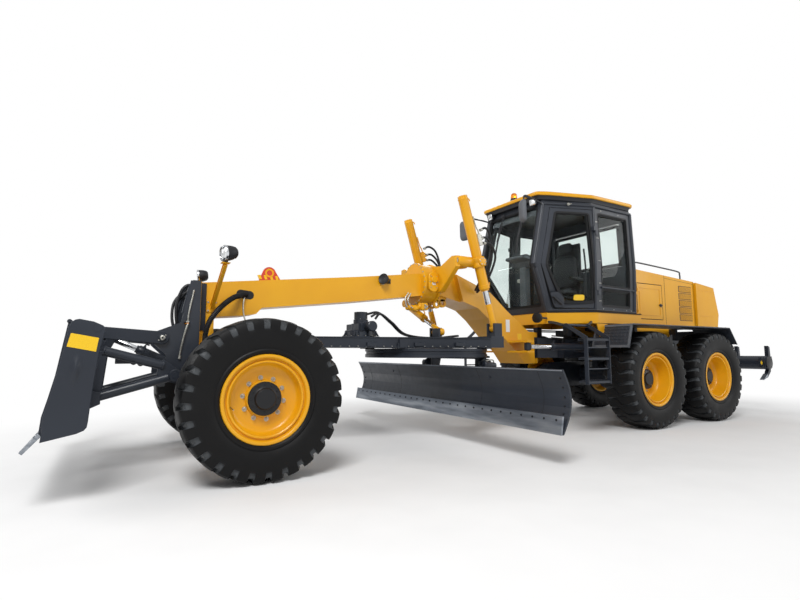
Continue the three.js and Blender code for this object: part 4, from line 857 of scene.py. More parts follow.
piece("beam_slot_painted_shade", beam_slot(), SEAL, "front_frame")
piece("beam_slot_loom", corrugated([(-60, 168, 1640), (-10, 205, 1630), (90, 262, 1590), (200, 300, 1500),
                                    (300, 320, 1370),
                                    (345, 315, 1230), (330, 260, 1080)], 25, 260), HOSE, "front_frame")
piece("beam_slot_cable", pipe([(-50, 172, 1622), (-30, 196, 1590), (-22, 205, 1520), (-30, 215, 1420),
                               (-60, 225, 1330),
                               (-90, 190, 1250)], 8, 10, 40), ZINC, "front_frame")


def lifting_eye():
    """A lifting lug on the beam: a trapezoid plate with a round top, and the ring round its hole."""
    outline = np.concatenate([[(-470, 1826), (-215, 1800)], disc_outline((-335, 1905), 72, 14, 0.35, TURN / 2 - 0.7)])
    ring = turned([(30, -17), (48, -17), (48, 17), (30, 17)], 32, (0, 1, 0), (-335, 0, 1910), hollow=True)
    return slab(outline, -14, 14, "xz", 3), ring


lug, ring = lifting_eye()
piece("lifting_eye", lug, PLATE_RED, "front_frame")
piece("lifting_eye_ring", ring, YELLOW, "front_frame")
piece("lifting_eye_stripes", joined(*[slab([(x, 1838), (x + 28, 1835), (x + 46, 1880), (x + 18, 1884)], -16, 16, "xz",
                                           1)
                                      for x in (-440, -380, -315, -255)]), PLATE_YELLOW, "front_frame")


def lamp_post(sign):
    """A channel post on a bolted foot, leaning out and up from the beam's side: its section carried on a line."""
    foot, head = np.array([275, 178, 1490.0]), np.array([262, 735, 1850.0])
    along = (head - foot) / np.linalg.norm(head - foot)
    square = basis(along, (1, 0, 0))
    length = np.linalg.norm(head - foot)
    channel = [(-26, -16), (26, -16), (26, 16), (19, 16), (19, -9), (-19, -9), (-19, 16), (-26, 16)]
    post = moved(slab(channel, 0, length, "xy", 1.5), foot, square)
    foot_plate = block((225, 170, 1440), (325, 180, 1560), 3)
    shelf = block((228, 716, 1844), (306, 792, 1852), 3)
    shape = joined(post, foot_plate, shelf)
    return shape if sign > 0 else mirrored(shape)


def twin_lamp(at, facing):
    """Two round work lamps side by side: (housings, rims, lenses), each a profile turned about its aim."""
    shells, rims, lenses = [], [], []
    for shift in (-36, 36):
        place = np.asarray(at, float) + np.cross(facing, (0, 0, 1)) * shift
        shells.append(turned([(TIP, -92), (34, -90), (52, -74), (62, -40), (66, 0), (66, 18), (58, 24), (58, 4),
                              (TIP, 2)],
                             36, facing, place))
        rims.append(turned([(56, 10), (60, 26), (67, 27), (70, 20), (69, 8)], 40, facing, place, hollow=True))
        lenses.append(turned([(TIP, 6), (57, 6), (57, 16), (46, 24), (24, 29), (TIP, 31)], 36, facing, place))
    return joined(*shells), joined(*rims), joined(*lenses)


for side, sign in (("left", 1), ("right", -1)):
    piece(f"lamp_post_{side}", lamp_post(sign), YELLOW, "front_frame")
    shell, rim, lens = twin_lamp((268, sign * 765, 1935), (0.985, sign * 0.12, -0.12))
    piece(f"front_lamp_{side}_shell", joined(shell, block((250, sign * 765 - 22, 1852), (290, sign * 765 + 22, 1884),
                                                          3)),
          PLASTIC, "front_frame")
    piece(f"front_lamp_{side}_rims", rim, CHROME, "front_frame")
    piece(f"front_lamp_{side}_lenses", lens, BRIGHT, "front_frame")
    feet = [(x, sign * 180.0, z) for x in (240, 310) for z in (1458, 1542)]
    piece(f"lamp_post_{side}_bolts", bolts(feet, (0, sign, 0), 9), ZINC, "front_frame")

nose_bolts = [(366, s * 170.0, z) for s in (1, -1) for z in (1700, 1640, 1580, 1515, 1448, 1380, 1310)]
nose_front = [(420, y, z) for y in (-230, -200, 200, 230) for z in (1650, 1500, 1350, 1200, 1050)]
piece("nose_bolts", joined(*[bolts([p], (0, math.copysign(1, p[1]), 0), 13) for p in nose_bolts],
                           bolts(nose_front, (1, 0, 0), 13)), ZINC, "front_frame")


def nose_flange(sign):
    """Bolting flange behind the nose plate, and the folded cover over its top: slabs in front view and side view."""
    strip = block((330, sign * 170, 1260), (394, sign * 184, 1728), 3)
    cover = slab([(396, 1738), (470, 1738), (505, 1690), (560, 1420), (545, 1412), (488, 1680), (462, 1722),
                  (396, 1722)],
                 sign * 276 - 22, sign * 276 + 22, "xz", 3)
    return joined(strip, cover)


piece("nose_flanges", joined(nose_flange(1), nose_flange(-1),
                             block((424, -60, 1100), (452, 60, 1500), 5),
                             block((424, -240, 1560), (440, 240, 1640), 4)), SLATE, "front_frame")
pipes = [pipe([(462, 312, 1640), (476, 318, 1560), (500, 320, 1420), (505, 316, 1330)], 7, 10, 24),
         pipe([(500, 322, 1330), (516, 326, 1280), (540, 326, 1180), (560, 318, 1060), (566, 312, 990)], 9, 10, 30)]
piece("nose_pipes", joined(*pipes, turned([(TIP, 0), (14, 0), (14, 34), (10, 38), (TIP, 38)], 8, (0.1, 0, -1),
                                          (505, 316, 1345)),
                           turned([(TIP, 0), (13, 0), (13, 30), (9, 34), (TIP, 34)], 8, (0.1, 0, -1),
                                  (562, 316, 1020))),
      ZINC, "front_frame")
piece("nose_pipe_clip", block((486, 302, 1318), (540, 334, 1330), 3), AMBER, "front_frame")
piece("nose_hoses", joined(*[pipe([(455, y, 1640 - d), (500, y + 6, 1690 - d), (560, y + 4, 1640 - d),
                                   (600, y - 10, 1500),
                                   (590, y - 30, 1340), (540, y - 60, 1220), (500, 150, 1090), (470, 130, 1000)], 15,
                                  12, 50)
                             for y, d in ((250, 0), (225, 60))],
                           pipe([(455, -240, 1600), (520, -240, 1640), (585, -230, 1540), (590, -200, 1360),
                                 (530, -170, 1180),
                                 (470, -130, 1000)], 15, 12, 46)), HOSE, "front_frame")
piece("beam_horn", joined(turned([(TIP, 0), (30, 0), (34, 20), (58, 70), (66, 104), (60, 110), (30, 96), (TIP, 92)],
                                 32,
                                 (0.82, 0.5, 0.1), (-1720, 176, 1905)),
                          block((-1760, 168, 1870), (-1690, 184, 1930), 3)), PLASTIC, "front_frame")
piece("beam_horn_bracket", joined(bolts([(-1640, 172, 1880), (-1665, 172, 1868)], (0, 1, 0), 15),
                                  turned([(TIP, 0), (16, 0), (16, 40), (12, 44), (TIP, 44)], 12, (0, 1, 0),
                                         (-1640, 172, 1860))),
      ZINC, "front_frame")
plates = [block((-3600, 250, 1320), (-3530, 254, 1490), 2), block((-3815, 250, 1215), (-3740, 254, 1300), 2)]
piece("data_plate_blank", plates[0], PLATE_WHITE, "front_frame")
piece("warning_plate_neck_blank", plates[1], PLATE_YELLOW, "front_frame")
piece("cover_plate_blank", slab(rounded((-2345, 1880), (-2292, 1935), 8), 292, 295, "xz", 1), PLATE_WHITE,
      "front_frame")


# ---------------------------------------------------------------- front dozer

def stadium(a, b, ra, rb, steps=14):
    """The outline round two circles: half of each circle, joined by straight edges."""
    a, b = np.asarray(a, float), np.asarray(b, float)
    lean = math.atan2(b[1] - a[1], b[0] - a[0])
    return np.concatenate([disc_outline(a, ra, steps, lean + TURN / 4, TURN / 2),
                           disc_outline(b, rb, steps, lean - TURN / 4, TURN / 2)])


def push_side():
    """One side of the push frame: lower tube, upper strut, gusset, post, bosses and weld collars."""
    lower = turned([(TIP, 0), (41, 0), (41, 575), (47, 580), (47, 590), (TIP, 590)], 40, (0.9642, 0, -0.2652),
                   (655, 370, 825))
    upper = turned([(TIP, 0), (46, 0), (46, 12), (41, 16), (41, 476), (46, 480), (46, 492), (TIP, 492)], 40,
                   (0.9628, 0, 0.2703), (698, 370, 930))
    gusset = slab([(560, 800), (720, 780), (750, 850), (742, 960), (700, 987), (560, 882)], 350, 390, "xz", 5)
    post = slab([(1135, 1062), (1205, 1062), (1250, 670), (1170, 670)], 346, 394, "xz", 5)
    head = turned([(TIP, 300.5), (52, 300.5), (55, 304), (55, 392), (50, 396), (30, 396), (28, 400), (TIP, 400)], 40,
                  (0, 1, 0), (600, 0, 840))
    end = turned([(TIP, 326), (52, 326), (52, 429), (TIP, 429)], 40, (0, 1, 0), (1220, 0, 670))
    return joined(lower, upper, gusset, post, head, end)


push = joined(both(push_side()), turned([(TIP, -370), (40, -370), (40, 370), (TIP, 370)], 40, (0, 1, 0),
                                        (1170, 0, 1062)),
              both(slab([(1130, 1062), (1210, 1062), (1150, 1188), (1110, 1222), (1070, 1188)], 45, 65, "xz", 4)))
made = piece("push_arms_finish", push, SLATE, "push_arms")
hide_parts("push_arms")
shackles = joined(*[turned([(15, -7), (26, -7), (26, 7), (15, 7)], 24, (0.25, 1, 0.2),
                           (880 + 56 * k, 300 - 6 * k, 952 + 12 * k),
                           hollow=True) for k in range(4)])
piece("push_arm_shackles", joined(shackles, block((860, 312, 950), (1080, 330, 1010), 4)), SLATE, "push_arms")

links = both(joined(slab(stadium((716, 1182), (1200, 1222), 58, 52), 300.5, 340, "xz", 6),
                    turned([(TIP, 340), (30, 340), (32, 344), (32, 352), (26, 356), (TIP, 356)], 32, (0, 1, 0),
                           (716, 0, 1182))))
made = piece("upper_links_finish", joined(links, turned([(TIP, -305), (22, -305), (22, 305), (TIP, 305)], 28,
                                                        (0, 1, 0),
                                                        (816, 0, 1190))), SLATE, "upper_links")
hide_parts("upper_links")
piece("upper_link_pins", both(joined(turned([(9, 352), (22, 352), (22, 362), (18, 365), (9, 365)], 28, (0, 1, 0),
                                            (716, 0, 1182), hollow=True),
                                     bolts([(745, 341, 1160), (690, 341, 1205)], (0, 1, 0), 7))), ZINC, "upper_links")


def dozer_plates():
    """Mouldboard, its rolled top edge and stiffener, end plates, foot plates and link plates, as bevelled slabs."""
    front = [(1378, 1262), (1402, 1100), (1432, 895), (1465, 739), (1493, 621), (1502, 508)]
    back = [(1482, 500), (1476, 612), (1448, 735), (1416, 890), (1386, 1097), (1360, 1256)]
    sheet = slab(front + back, -1214, 1214, "xz", 2)
    end = slab([(1374, 1226), (1358, 1263), (1335, 1278), (1313, 1283), (1227, 1267), (1170, 1241), (1156, 1226),
                (1152, 1209),
                (1183, 1055), (1203, 854), (1219, 656), (1225, 567), (1230, 535), (1245, 516), (1289, 497),
                (1490, 455),
                (1484, 505), (1484, 621), (1456, 739), (1424, 895), (1394, 1064)], 1215, 1240, "xz", 4)
    foot = slab([(1170, 715), (1170, 620), (1300, 560), (1480, 520), (1484, 621), (1456, 739), (1440, 800),
                 (1290, 745)],
                430, 455, "xz", 4)
    link = slab([(1152, 1262), (1150, 1195), (1215, 1160), (1390, 1080), (1366, 1240), (1240, 1274)], 275, 300, "xz",
                4)
    boss = turned([(TIP, 1238), (27, 1238), (27, 1243), (TIP, 1243)], 32, (0, 1, 0), (1200, 0, 1222))
    roll = turned([(TIP, -1214), (15, -1214), (15, 1214), (TIP, 1214)], 24, (0, 1, 0), (1371, 0, 1266))
    beam = block((1345, -1212, 860), (1424, 1212, 950), 6)
    ribs = [slab([(1436, 800), (1500, 540), (1476, 540), (1330, 760)], y - 10, y + 10, "xz", 3)
            for y in (-900, 0, 900)]
    return joined(sheet, both(joined(end, foot, link, boss)), roll, beam, *ribs)


made = piece("dozer_blade_finish", dozer_plates(), SLATE, "dozer_blade")
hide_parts("dozer_blade")
edge = slab([(1499, 516), (1507, 508), (1594, 407), (1595, 398), (1578, 386), (1482, 497)], -1236, 1236, "xz", 1.5)
piece("dozer_edge_finish", edge, EDGE_STEEL, "dozer_blade")
edge_bolts = [(1524, y, 487) for y in np.linspace(-1180, 1180, 17)]
piece("dozer_edge_bolts", bolts(edge_bolts, (0.76, 0, 0.65), 10), EDGE_STEEL, "dozer_blade")


def swelling(centre, long, short, tilt, rise):
    """An oval pressing: rings shrinking to a point with height rise * cos^2, set on a plate that faces the side."""
    rings = np.linspace(1, 0.02, 9)
    angle = np.arange(40) / 40 * TURN
    u, v = short * np.cos(angle), long * np.sin(angle)
    x = centre[0] + rings[:, None] * (u * math.cos(tilt) - v * math.sin(tilt))
    z = centre[1] + rings[:, None] * (u * math.sin(tilt) + v * math.cos(tilt))
    y = np.broadcast_to((centre[2] + rise * np.cos(rings * np.pi / 2) ** 2 + 0.3)[:, None], x.shape)
    return skin(np.stack([x, y, z], -1))


piece("dozer_end_pressings", both(swelling((1318, 930, 1240.0), 120, 40, 0.1, 20)), SLATE, "dozer_blade")
piece("dozer_warning_plates_blank", both(slab([(1357, 1184), (1190, 1152), (1203, 1055), (1377, 1091)][::-1], 1240,
                                              1242.5,
                                              "xz", 0.6)), PLATE_YELLOW, "dozer_blade")


# ---------------------------------------------------------------- drawbar, circle, blade

def drawbar_trim():
    """Flange strips along the drawbar's legs, top and bottom, and three wear shoe carriers on each leg."""
    leg = np.array([(-620, 222), (-2850, 715), (-2850, 735), (-620, 242)], float)
    low, high = slab(leg, 1100, 1112, "xy", 2), slab(leg, 1208, 1219, "xy", 2)
    clamps = [moved(block((-70, -26, 0), (70, 26, 48), 5), (x, y, 1112))
              for x, y in ((-1400, 395), (-1950, 515), (-2450, 625))]
    return both(joined(low, high, *clamps))


DRIVE_X, CIRCLE_X = -1450, -2380


def circle_drive():
    """Worm gear case on the drawbar: stepped flanges turned about the drive shaft, ribs round them, a side motor."""
    case = turned([(TIP, 1182), (235, 1182), (240, 1190), (240, 1226), (228, 1234), (196, 1238), (190, 1300),
                   (176, 1308),
                   (120, 1312), (112, 1384), (TIP, 1384)], 48, (0, 0, 1), (DRIVE_X, 0, 0))
    cap = turned([(TIP, 1381), (84, 1381), (88, 1386), (88, 1430), (80, 1438), (66, 1440), (62, 1520), (54, 1528),
                  (TIP, 1528)],
                 40, (0, 0, 1), (DRIVE_X, 0, 0))
    angle = np.arange(8) / 8 * TURN
    rib = slab([(180, 1236), (228, 1236), (192, 1300), (180, 1300)], -7, 7, "xz", 2)
    turns = np.stack([np.cos(angle), -np.sin(angle), 0 * angle, np.sin(angle), np.cos(angle), 0 * angle, 0 * angle,
                      0 * angle,
                      1 + 0 * angle], -1).reshape(8, 3, 3)
    ribs = repeated(rib, np.tile((DRIVE_X, 0, 0), (8, 1)), turns)
    motor = turned([(TIP, 0), (62, 0), (66, 6), (66, 26), (56, 32), (56, 150), (60, 156), (60, 196), (50, 204),
                    (TIP, 204)], 36,
                   (0, 1, 0), (DRIVE_X, 118, 1345))
    return joined(case, cap, ribs, motor, block((-1540, 150, 1290), (-1360, 190, 1392), 6))


def drive_bolts():
    """Two rings of bolts on the circle drive: on the case's flange and on its cap."""
    return joined(bolts(ring_of((DRIVE_X, 0), 215, 16, 1236, "xy", 0.2), (0, 0, 1), 10),
                  bolts(ring_of((DRIVE_X, 0), 76, 6, 1438, "xy"), (0, 0, 1), 8))


piece("drawbar_trim", joined(drawbar_trim(), circle_drive()), SLATE, "drawbar")
legs = np.linspace((-760, 262, 1112), (-2780, 708, 1112), 22)
piece("drawbar_bolts", joined(both(bolts(legs, (0, 0, 1), 10)), drive_bolts()), ZINC, "drawbar")
piece("drawbar_hoses", joined(*[pipe([(-1500 - 40 * k, 60 + 30 * k, 1500 - 30 * k),
                                      (-1640, 90 + 30 * k, 1520 - 10 * k),
                                      (-1800, 110 + 20 * k, 1400), (-2000, 100 + 20 * k, 1262),
                                      (-2400, 90 + 18 * k, 1226),
                                      (-2800, 80 + 30 * k, 1258)], 14, 12, 60) for k in range(3)]), HOSE, "drawbar")


def circle_shape():
    """The slewing ring, turned in steps: top band, flange, gear band and bore; and its two arms, brace and cheeks."""
    ring = turned([(652, 982), (772, 982), (779, 988), (779, 1022), (766, 1028), (766, 1052), (779, 1058),
                   (779, 1086),
                   (774, 1089.7), (652, 1089.7), (650, 1087), (650, 984)], 128, (0, 0, 1), (CIRCLE_X, 0, 0),
                  hollow=True)
    arm = slab([(-2800, 990), (-2790, 700), (-2600, 560), (-2600, 450), (-2700, 440), (-2880, 640), (-2960, 990)],
               470, 510,
               "xz", 6)
    stiff = slab([(-2880, 988), (-2866, 690), (-2700, 500), (-2716, 490), (-2896, 668), (-2916, 988)], 508, 560, "xz",
                 4)
    boss = turned([(TIP, 508), (58, 508), (60, 512), (60, 530), (54, 534), (TIP, 534)], 32, (0, 1, 0),
                  (-2660, 0, 500))
    return joined(ring, both(joined(arm, stiff, boss)), block((-2960, -480, 958), (-2900, 480, 988), 4))


made = piece("circle_finish", circle_shape(), SLATE, "circle")
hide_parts("circle")


def tip_cylinders():
    """The blade tip cylinder beside one of the circle's arms: a curved lever and the barrel."""
    lever = slab([(-2960, 905), (-2910, 960), (-2820, 972), (-2752, 930), (-2752, 884), (-2820, 866), (-2900, 862)],
                 590, 622,
                 "xz", 5)
    barrel = turned([(TIP, 0), (34, 0), (38, 5), (38, 150), (42, 156), (42, 182), (34, 188), (TIP, 188)], 36,
                    (0.99, 0, 0.12), (-2958, 660, 880))
    return joined(lever, barrel)


piece("tip_cylinders", both(tip_cylinders()), SLATE, "circle")
piece("tip_fittings", both(joined(bolts([(-2850, 624, 925)], (0, 1, 0), 22),
                                  pipe([(-2940, 660, 918), (-2930, 664, 946), (-2880, 668, 952), (-2810, 664, 940)],
                                       8, 10, 24))),
      ZINC, "circle")


# heat-treated edge steel, blued dark and rubbed bright in long streaks; the bright streaks are partly rubbed metal and
# partly a painted reflection
WORN_AND_SHEEN = finish("worn_blade_steel_and_painted_sheen", ((130, 5.0), 0.42, 0.72, "#666D77", "#B9BFC7"), ((130, 5.0), 0.4, 0.7, 0.44, 0.3),
              stretch=(1.0, 0.12, 1.0), Metallic=0.75)
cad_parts["cutting_edge"].data.materials[0] = WORN_AND_SHEEN


def blade_face(share):
    """A point on the mouldboard's hollow front: x = -2450 + 20 t - 110 sin(pi t), z = 888 - 588 t."""
    share = np.asarray(share, float)
    return -2450 + 20 * share - 110 * np.sin(np.pi * share), 888 - 588 * share


edge_row = bolts(np.linspace((-2432, -2080, 428), (-2432, 2080, 428), 29), (0.985, 0, 0.17), 11)
ends = np.array([(x, s * 2085.0, z) for s in (1, -1) for x, z in zip(*blade_face([0.14, 0.29, 0.44, 0.58, 0.7]))])
end_rows = joined(*[bolts([p], (0.97, 0, 0.24 - 0.4 * (p[2] < 600)), 11) for p in ends])
piece("moldboard_bolts", joined(edge_row, end_rows), BLACK_ENAMEL, "moldboard")
curve = np.linspace(0.02, 0.98, 18)
strip_x, strip_z = blade_face(curve)
strip = np.concatenate([np.stack([strip_x + 1.6, strip_z], 1), np.stack([strip_x[::-1] - 6, strip_z[::-1]], 1)])
seams = joined(*[slab(strip, y - 3, y + 3, "xz", 0.5) for y in (-1830, -900, 900, 1830)])
piece("moldboard_seams", seams, BLACK_ENAMEL, "moldboard")
# a rod along the mouldboard's top edge and strips down both ends in bright streaked steel: painted highlight along the
# top, painted sheen on the ends
piece("moldboard_top_edge_painted_sheen", joined(turned([(TIP, -2146), (9, -2146), (9, 2146), (TIP, 2146)], 16, (0, 1, 0),
                                          (-2461, 0, 879)),
                                   both(slab(np.concatenate([np.stack([strip_x - 2, strip_z], 1),
                                                             np.stack([strip_x[::-1] - 20, strip_z[::-1]], 1)]),
                                             2132, 2148, "xz", 1.5))), WORN_AND_SHEEN, "moldboard")


# ---------------------------------------------------------------- cab

LEVELS = np.array([[1600.3, -4100, 445, -4620, 830, -5640, 760], [2250, -3760, 560, -4640, 850, -5620, 800],
                   [3170, -3981, 548, -4700, 800, -5580, 790]], float)


def wall_y(x, z):
    """How far out the cab's side wall stands at (x, z): linear between the three levels and the three corners."""
    fx, fy, sx, sy, rx, ry = (np.interp(z, LEVELS[:, 0], LEVELS[:, k]) for k in range(1, 7))
    ahead = fy + (x - fx) / (sx - fx) * (sy - fy)
    behind = sy + (x - sx) / (rx - sx) * (ry - sy)
    return np.where(np.asarray(x) > sx, ahead, behind)


def finer(outline, step=70.0):
    """The outline with points added so that no edge is longer than the step."""
    p = np.asarray(outline, float)
    rows = [np.linspace(a, b, max(2, int(np.linalg.norm(b - a) / step) + 1))[:-1]
            for a, b in zip(p, np.roll(p, -1, 0))]
    return np.concatenate(rows)


def soft(outline, cut=26.0, steps=5):
    """The outline with each corner turned into a short quadratic curve."""
    p = np.asarray(outline, float)
    rows = []
    for before, corner, after in zip(np.roll(p, 1, 0), p, np.roll(p, -1, 0)):
        a = corner + (before - corner) / np.linalg.norm(before - corner) * cut
        b = corner + (after - corner) / np.linalg.norm(after - corner) * cut
        t = np.linspace(0, 1, steps)[:, None]
        rows.append((1 - t) ** 2 * a + 2 * t * (1 - t) * corner + t ** 2 * b)
    return np.concatenate(rows)


def draped_ring(outline, width, low, high, place):
    """A band following an outline on a wall: four corners of its section (width across, low to high off the wall)."""
    outer = finer(soft(outline))
    inner = inset(outer, width)
    grid = np.stack([place(outer, low), place(outer, high), place(inner, high), place(inner, low)], 1)
    return skin(grid, around_u=True, caps=False)


def draped_pane(outline, low, high, place):
    """A pane lying on a wall: the outline at two distances off it, closed by its two faces."""
    edge = finer(soft(outline))
    return skin(np.stack([place(edge, low), place(edge, high)]))


def curved_pane(outline, low, high, place, rows=18, across=14):
    """A pane on a wall that bends: at each height a closed run from edge to edge and back, at two distances off."""
    p = np.asarray(outline, float)
    following = np.roll(p, -1, 0)
    levels = np.linspace(p[:, 1].min() + 1, p[:, 1].max() - 1, rows)
    grid = []
    for z in levels:
        cut = (p[:, 1] - z) * (following[:, 1] - z) <= 0
        cut &= np.abs(following[:, 1] - p[:, 1]) > 1e-6
        share = (z - p[cut, 1]) / (following[cut, 1] - p[cut, 1])
        x = p[cut, 0] + share * (following[cut, 0] - p[cut, 0])
        run = np.column_stack([np.linspace(x.min(), x.max(), across), np.full(across, z)])
        grid.append(np.concatenate([place(run, low), place(run[::-1], high)]))
    return skin(np.array(grid))


def on_side(outline, off):
    """Outline points (x, z) put on the cab's left wall, off millimetres outside it."""
    return np.stack([outline[:, 0], wall_y(outline[:, 0], outline[:, 1]) + off, outline[:, 1]], 1)


def on_front(outline, off):
    """Outline points (y, z) put on the cab's front wall, off millimetres ahead of it."""
    x = np.interp(outline[:, 1], LEVELS[:, 0], LEVELS[:, 1])
    return np.stack([x + off, outline[:, 0], outline[:, 1]], 1)


def on_back(outline, off):
    """Outline points (y, z) put on the cab's rear wall, off millimetres behind it."""
    x = np.interp(outline[:, 1], LEVELS[:, 0], LEVELS[:, 5])
    return np.stack([x - off, outline[:, 0], outline[:, 1]], 1)


DOOR = [(-4190, 1650), (-3880, 2250), (-4090, 3060), (-4700, 3060), (-4700, 1650)]
DOOR_WINDOW = [(-4290, 1740), (-3965, 2250), (-4165, 2990), (-4630, 2990), (-4630, 1740)]
REAR_WINDOW = [(-4830, 1980), (-4830, 3020), (-5480, 3020), (-5500, 1980)]
REAR_LOW = [(-4830, 1700), (-4830, 1920), (-5500, 1920), (-5500, 1700)]
FRONT_WINDOW = [(-400, 1700), (400, 1700), (500, 2250), (480, 3080), (-480, 3080), (-500, 2250)]
BACK_WINDOW = [(-600, 2390), (600, 2390), (600, 2980), (-600, 2980)]

for side, flip in EACH_SIDE:
    door = f"cab_door_{side}"
    piece(f"door_window_seal_{side}", flip(draped_ring(DOOR_WINDOW, -26, -14, 5, on_side)), SEAL, door)
    piece(f"door_inner_seal_{side}", flip(draped_ring(DOOR_WINDOW, 16, -38, -8, on_side)), SEAL, door)
    piece(f"door_edge_seal_{side}", flip(draped_ring(DOOR, 7, -30, -3, on_side)), SEAL, door)
    rear = joined(*[draped_ring(w, -22, -14, 5, on_side) for w in (REAR_WINDOW, REAR_LOW)],
                  *[draped_ring(w, 16, -38, -8, on_side) for w in (REAR_WINDOW, REAR_LOW)])
    piece(f"rear_window_seals_{side}", flip(rear), SEAL, "rear_frame")
    panes = joined(*[curved_pane(w, -30, -25, on_side) for w in (REAR_WINDOW, REAR_LOW)])
    piece(f"rear_window_glass_{side}", flip(panes), GLASS, "rear_frame")
piece("windscreen_seal", joined(draped_ring(FRONT_WINDOW, -22, -12, 5, on_front),
                                draped_ring(FRONT_WINDOW, 14, -38, -8, on_front)),
      SEAL, "rear_frame")
piece("back_window_seal", joined(draped_ring(BACK_WINDOW, -26, -40, 5, on_back),
                                 draped_ring(BACK_WINDOW, 20, -40, -8, on_back)),
      SEAL, "rear_frame")
piece("back_window_glass", draped_pane(BACK_WINDOW, -30, -25, on_back), GLASS, "rear_frame")


def cab_rails():
    """Pressed frame sections: beads along the front, side and rear pillars, the header, the sill and the waist."""
    front = [(-4118, 452, 1615), (-3942, 515, 1950), (-3768, 566, 2250), (-3852, 562, 2560), (-3985, 556, 3120)]
    side = [(-4662, 838, 1620), (-4680, 852, 2250), (-4738, 806, 3120)]
    rear = [(-5636, 764, 1620), (-5618, 802, 2250), (-5584, 792, 3120)]
    header = [(-3990, 560, 3118), (-4300, 668, 3124), (-4720, 812, 3124), (-5580, 800, 3124)]
    sill = [(-4110, 462, 1628), (-4380, 650, 1628), (-4640, 842, 1628), (-5640, 776, 1628)]
    waist = [(-4790, 846, 1950), (-5200, 820, 1950), (-5610, 792, 1950)]
    widths = ((front, 26), (side, 20), (rear, 26), (header, 20), (sill, 15), (waist, 14))
    return both(joined(*[pipe(finer_path(path), size, 14) for path, size in widths]))


def finer_path(points, step=60.0):
    """Straight runs between points with extra points on them."""
    p = np.asarray(points, float)
    rows = [np.linspace(a, b, max(2, int(np.linalg.norm(b - a) / step) + 1))[:-1] for a, b in zip(p[:-1], p[1:])]
    return np.concatenate(rows + [p[-1:]])


piece("cab_frame_beads", cab_rails(), CAB_GREY, "rear_frame")

PANEL = [(-4175, 1668), (-4075, 1866), (-4165, 1880), (-4262, 1790), (-4280, 1668)]
RECESS = [(-4150, 1700), (-4105, 1800), (-4150, 1822), (-4235, 1762), (-4238, 1700)]
for side, flip in EACH_SIDE:
    door = f"cab_door_{side}"
    piece(f"door_lock_panel_{side}", flip(joined(draped_pane(PANEL, 0, 12, on_side),
                                                 draped_ring(RECESS, 8, 8, 18, on_side))),
          CAB_GREY, door)
    grip = np.array([(-4120, 1800), (-4150, 1775), (-4190, 1740), (-4225, 1712)], float)
    lever = pipe(smooth_path(np.concatenate([on_side(grip[:1], 12), on_side(grip, 34), on_side(grip[-1:], 12)]), 30),
                 np.interp(np.linspace(0, 1, 30), [0, 0.5, 1], [13, 17, 10]), 14)
    piece(f"door_handle_{side}", flip(joined(lever, draped_pane(RECESS, 10, 13, on_side))), PLASTIC, door)
    piece(f"door_plate_blank_{side}", flip(draped_pane([(-4395, 1760), (-4395, 1840), (-4525, 1840), (-4525, 1760)],
                                                       -20, -17,
                                                       on_side)), PLATE_YELLOW, door)
    knob = on_side(np.array([(-4338.0, 3118.0)]), 18)[0]
    piece(f"door_stay_knob_{side}", flip(joined(turned([(TIP, 0), (17, 0), (21, 6), (21, 20), (14, 27), (TIP, 28)],
                                                       28, (0.3, 1, 0), knob),
                                                pipe([knob + (0, 18, 0), knob + (-26, 24, 4), knob + (-52, 22, 14)],
                                                     6, 10, 10))),
          ZINC, "rear_frame")
    rivets = [(x, z) for x in (-4762, -4790) for z in (1760, 2010, 2330, 2660, 2900)]
    rivets += [(-4850, 1650), (-5100, 1650), (-5420, 1650), (-5540, 1650), (-4900, 3074), (-5300, 3074)]
    spots = on_side(np.array(rivets, float), 1)
    piece(f"cab_side_bolts_{side}", flip(bolts(spots, (0, 1, 0), 8)), ZINC, "rear_frame")
    piece(f"door_pull_{side}", flip(pipe(on_side(finer_path([(-4585, 1800), (-4585, 2500)]), -78), 12, 12)), PLASTIC,
          door)


# ---------------------------------------------------------------- cab roof, lamps, mirrors, wiper

ROOF = soft([(-3862, -562), (-3862, 562), (-4020, 640), (-4700, 848), (-5590, 848), (-5648, 780), (-5648, -780),
             (-5590, -848),
             (-4700, -848), (-4020, -640)], 44, 5)

ROOF_MIDDLE = np.array([-4755.0, 0.0])


def roof_cap():
    """The pressed roof: rings of the plan, shrinking as they rise, to a shallow crown; its rim is folded down."""
    rings = [(0.97, 3222), (0.995, 3226), (1.0, 3236), (1.0, 3262), (0.988, 3274), (0.95, 3284), (0.85, 3292),
             (0.6, 3297),
             (0.3, 3299), (0.02, 3299.5)]
    return lofted([(ROOF_MIDDLE + (ROOF - ROOF_MIDDLE) * k, z) for k, z in rings])


def roof_lining():
    """The dark liner under the cap: three rings stepping in to the header."""
    rings = [(0.955, 3170.5), (0.96, 3196), (0.978, 3222), (0.9, 3226)]
    return lofted([(ROOF_MIDDLE + (ROOF - ROOF_MIDDLE) * k, z) for k, z in rings])


made = piece("cab_roof_finish", roof_cap(), YELLOW, "rear_frame")
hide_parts("cab_roof")
piece("cab_roof_lining", roof_lining(), PLASTIC, "rear_frame")
BEACON = (-3985, 0, 0)
piece("beacon_base", turned([(TIP, 3280), (58, 3296), (60, 3302), (54, 3312), (50, 3322), (50, 3336), (TIP, 3336)],
                            36, (0, 0, 1),
                            BEACON), PLASTIC, "rear_frame")
piece("beacon_dome", turned([(TIP, 3334), (46, 3334), (49, 3340), (47, 3380), (42, 3402), (30, 3415), (12, 3420),
                             (TIP, 3420)],
                            36, (0, 0, 1), BEACON), AMBER, "rear_frame")


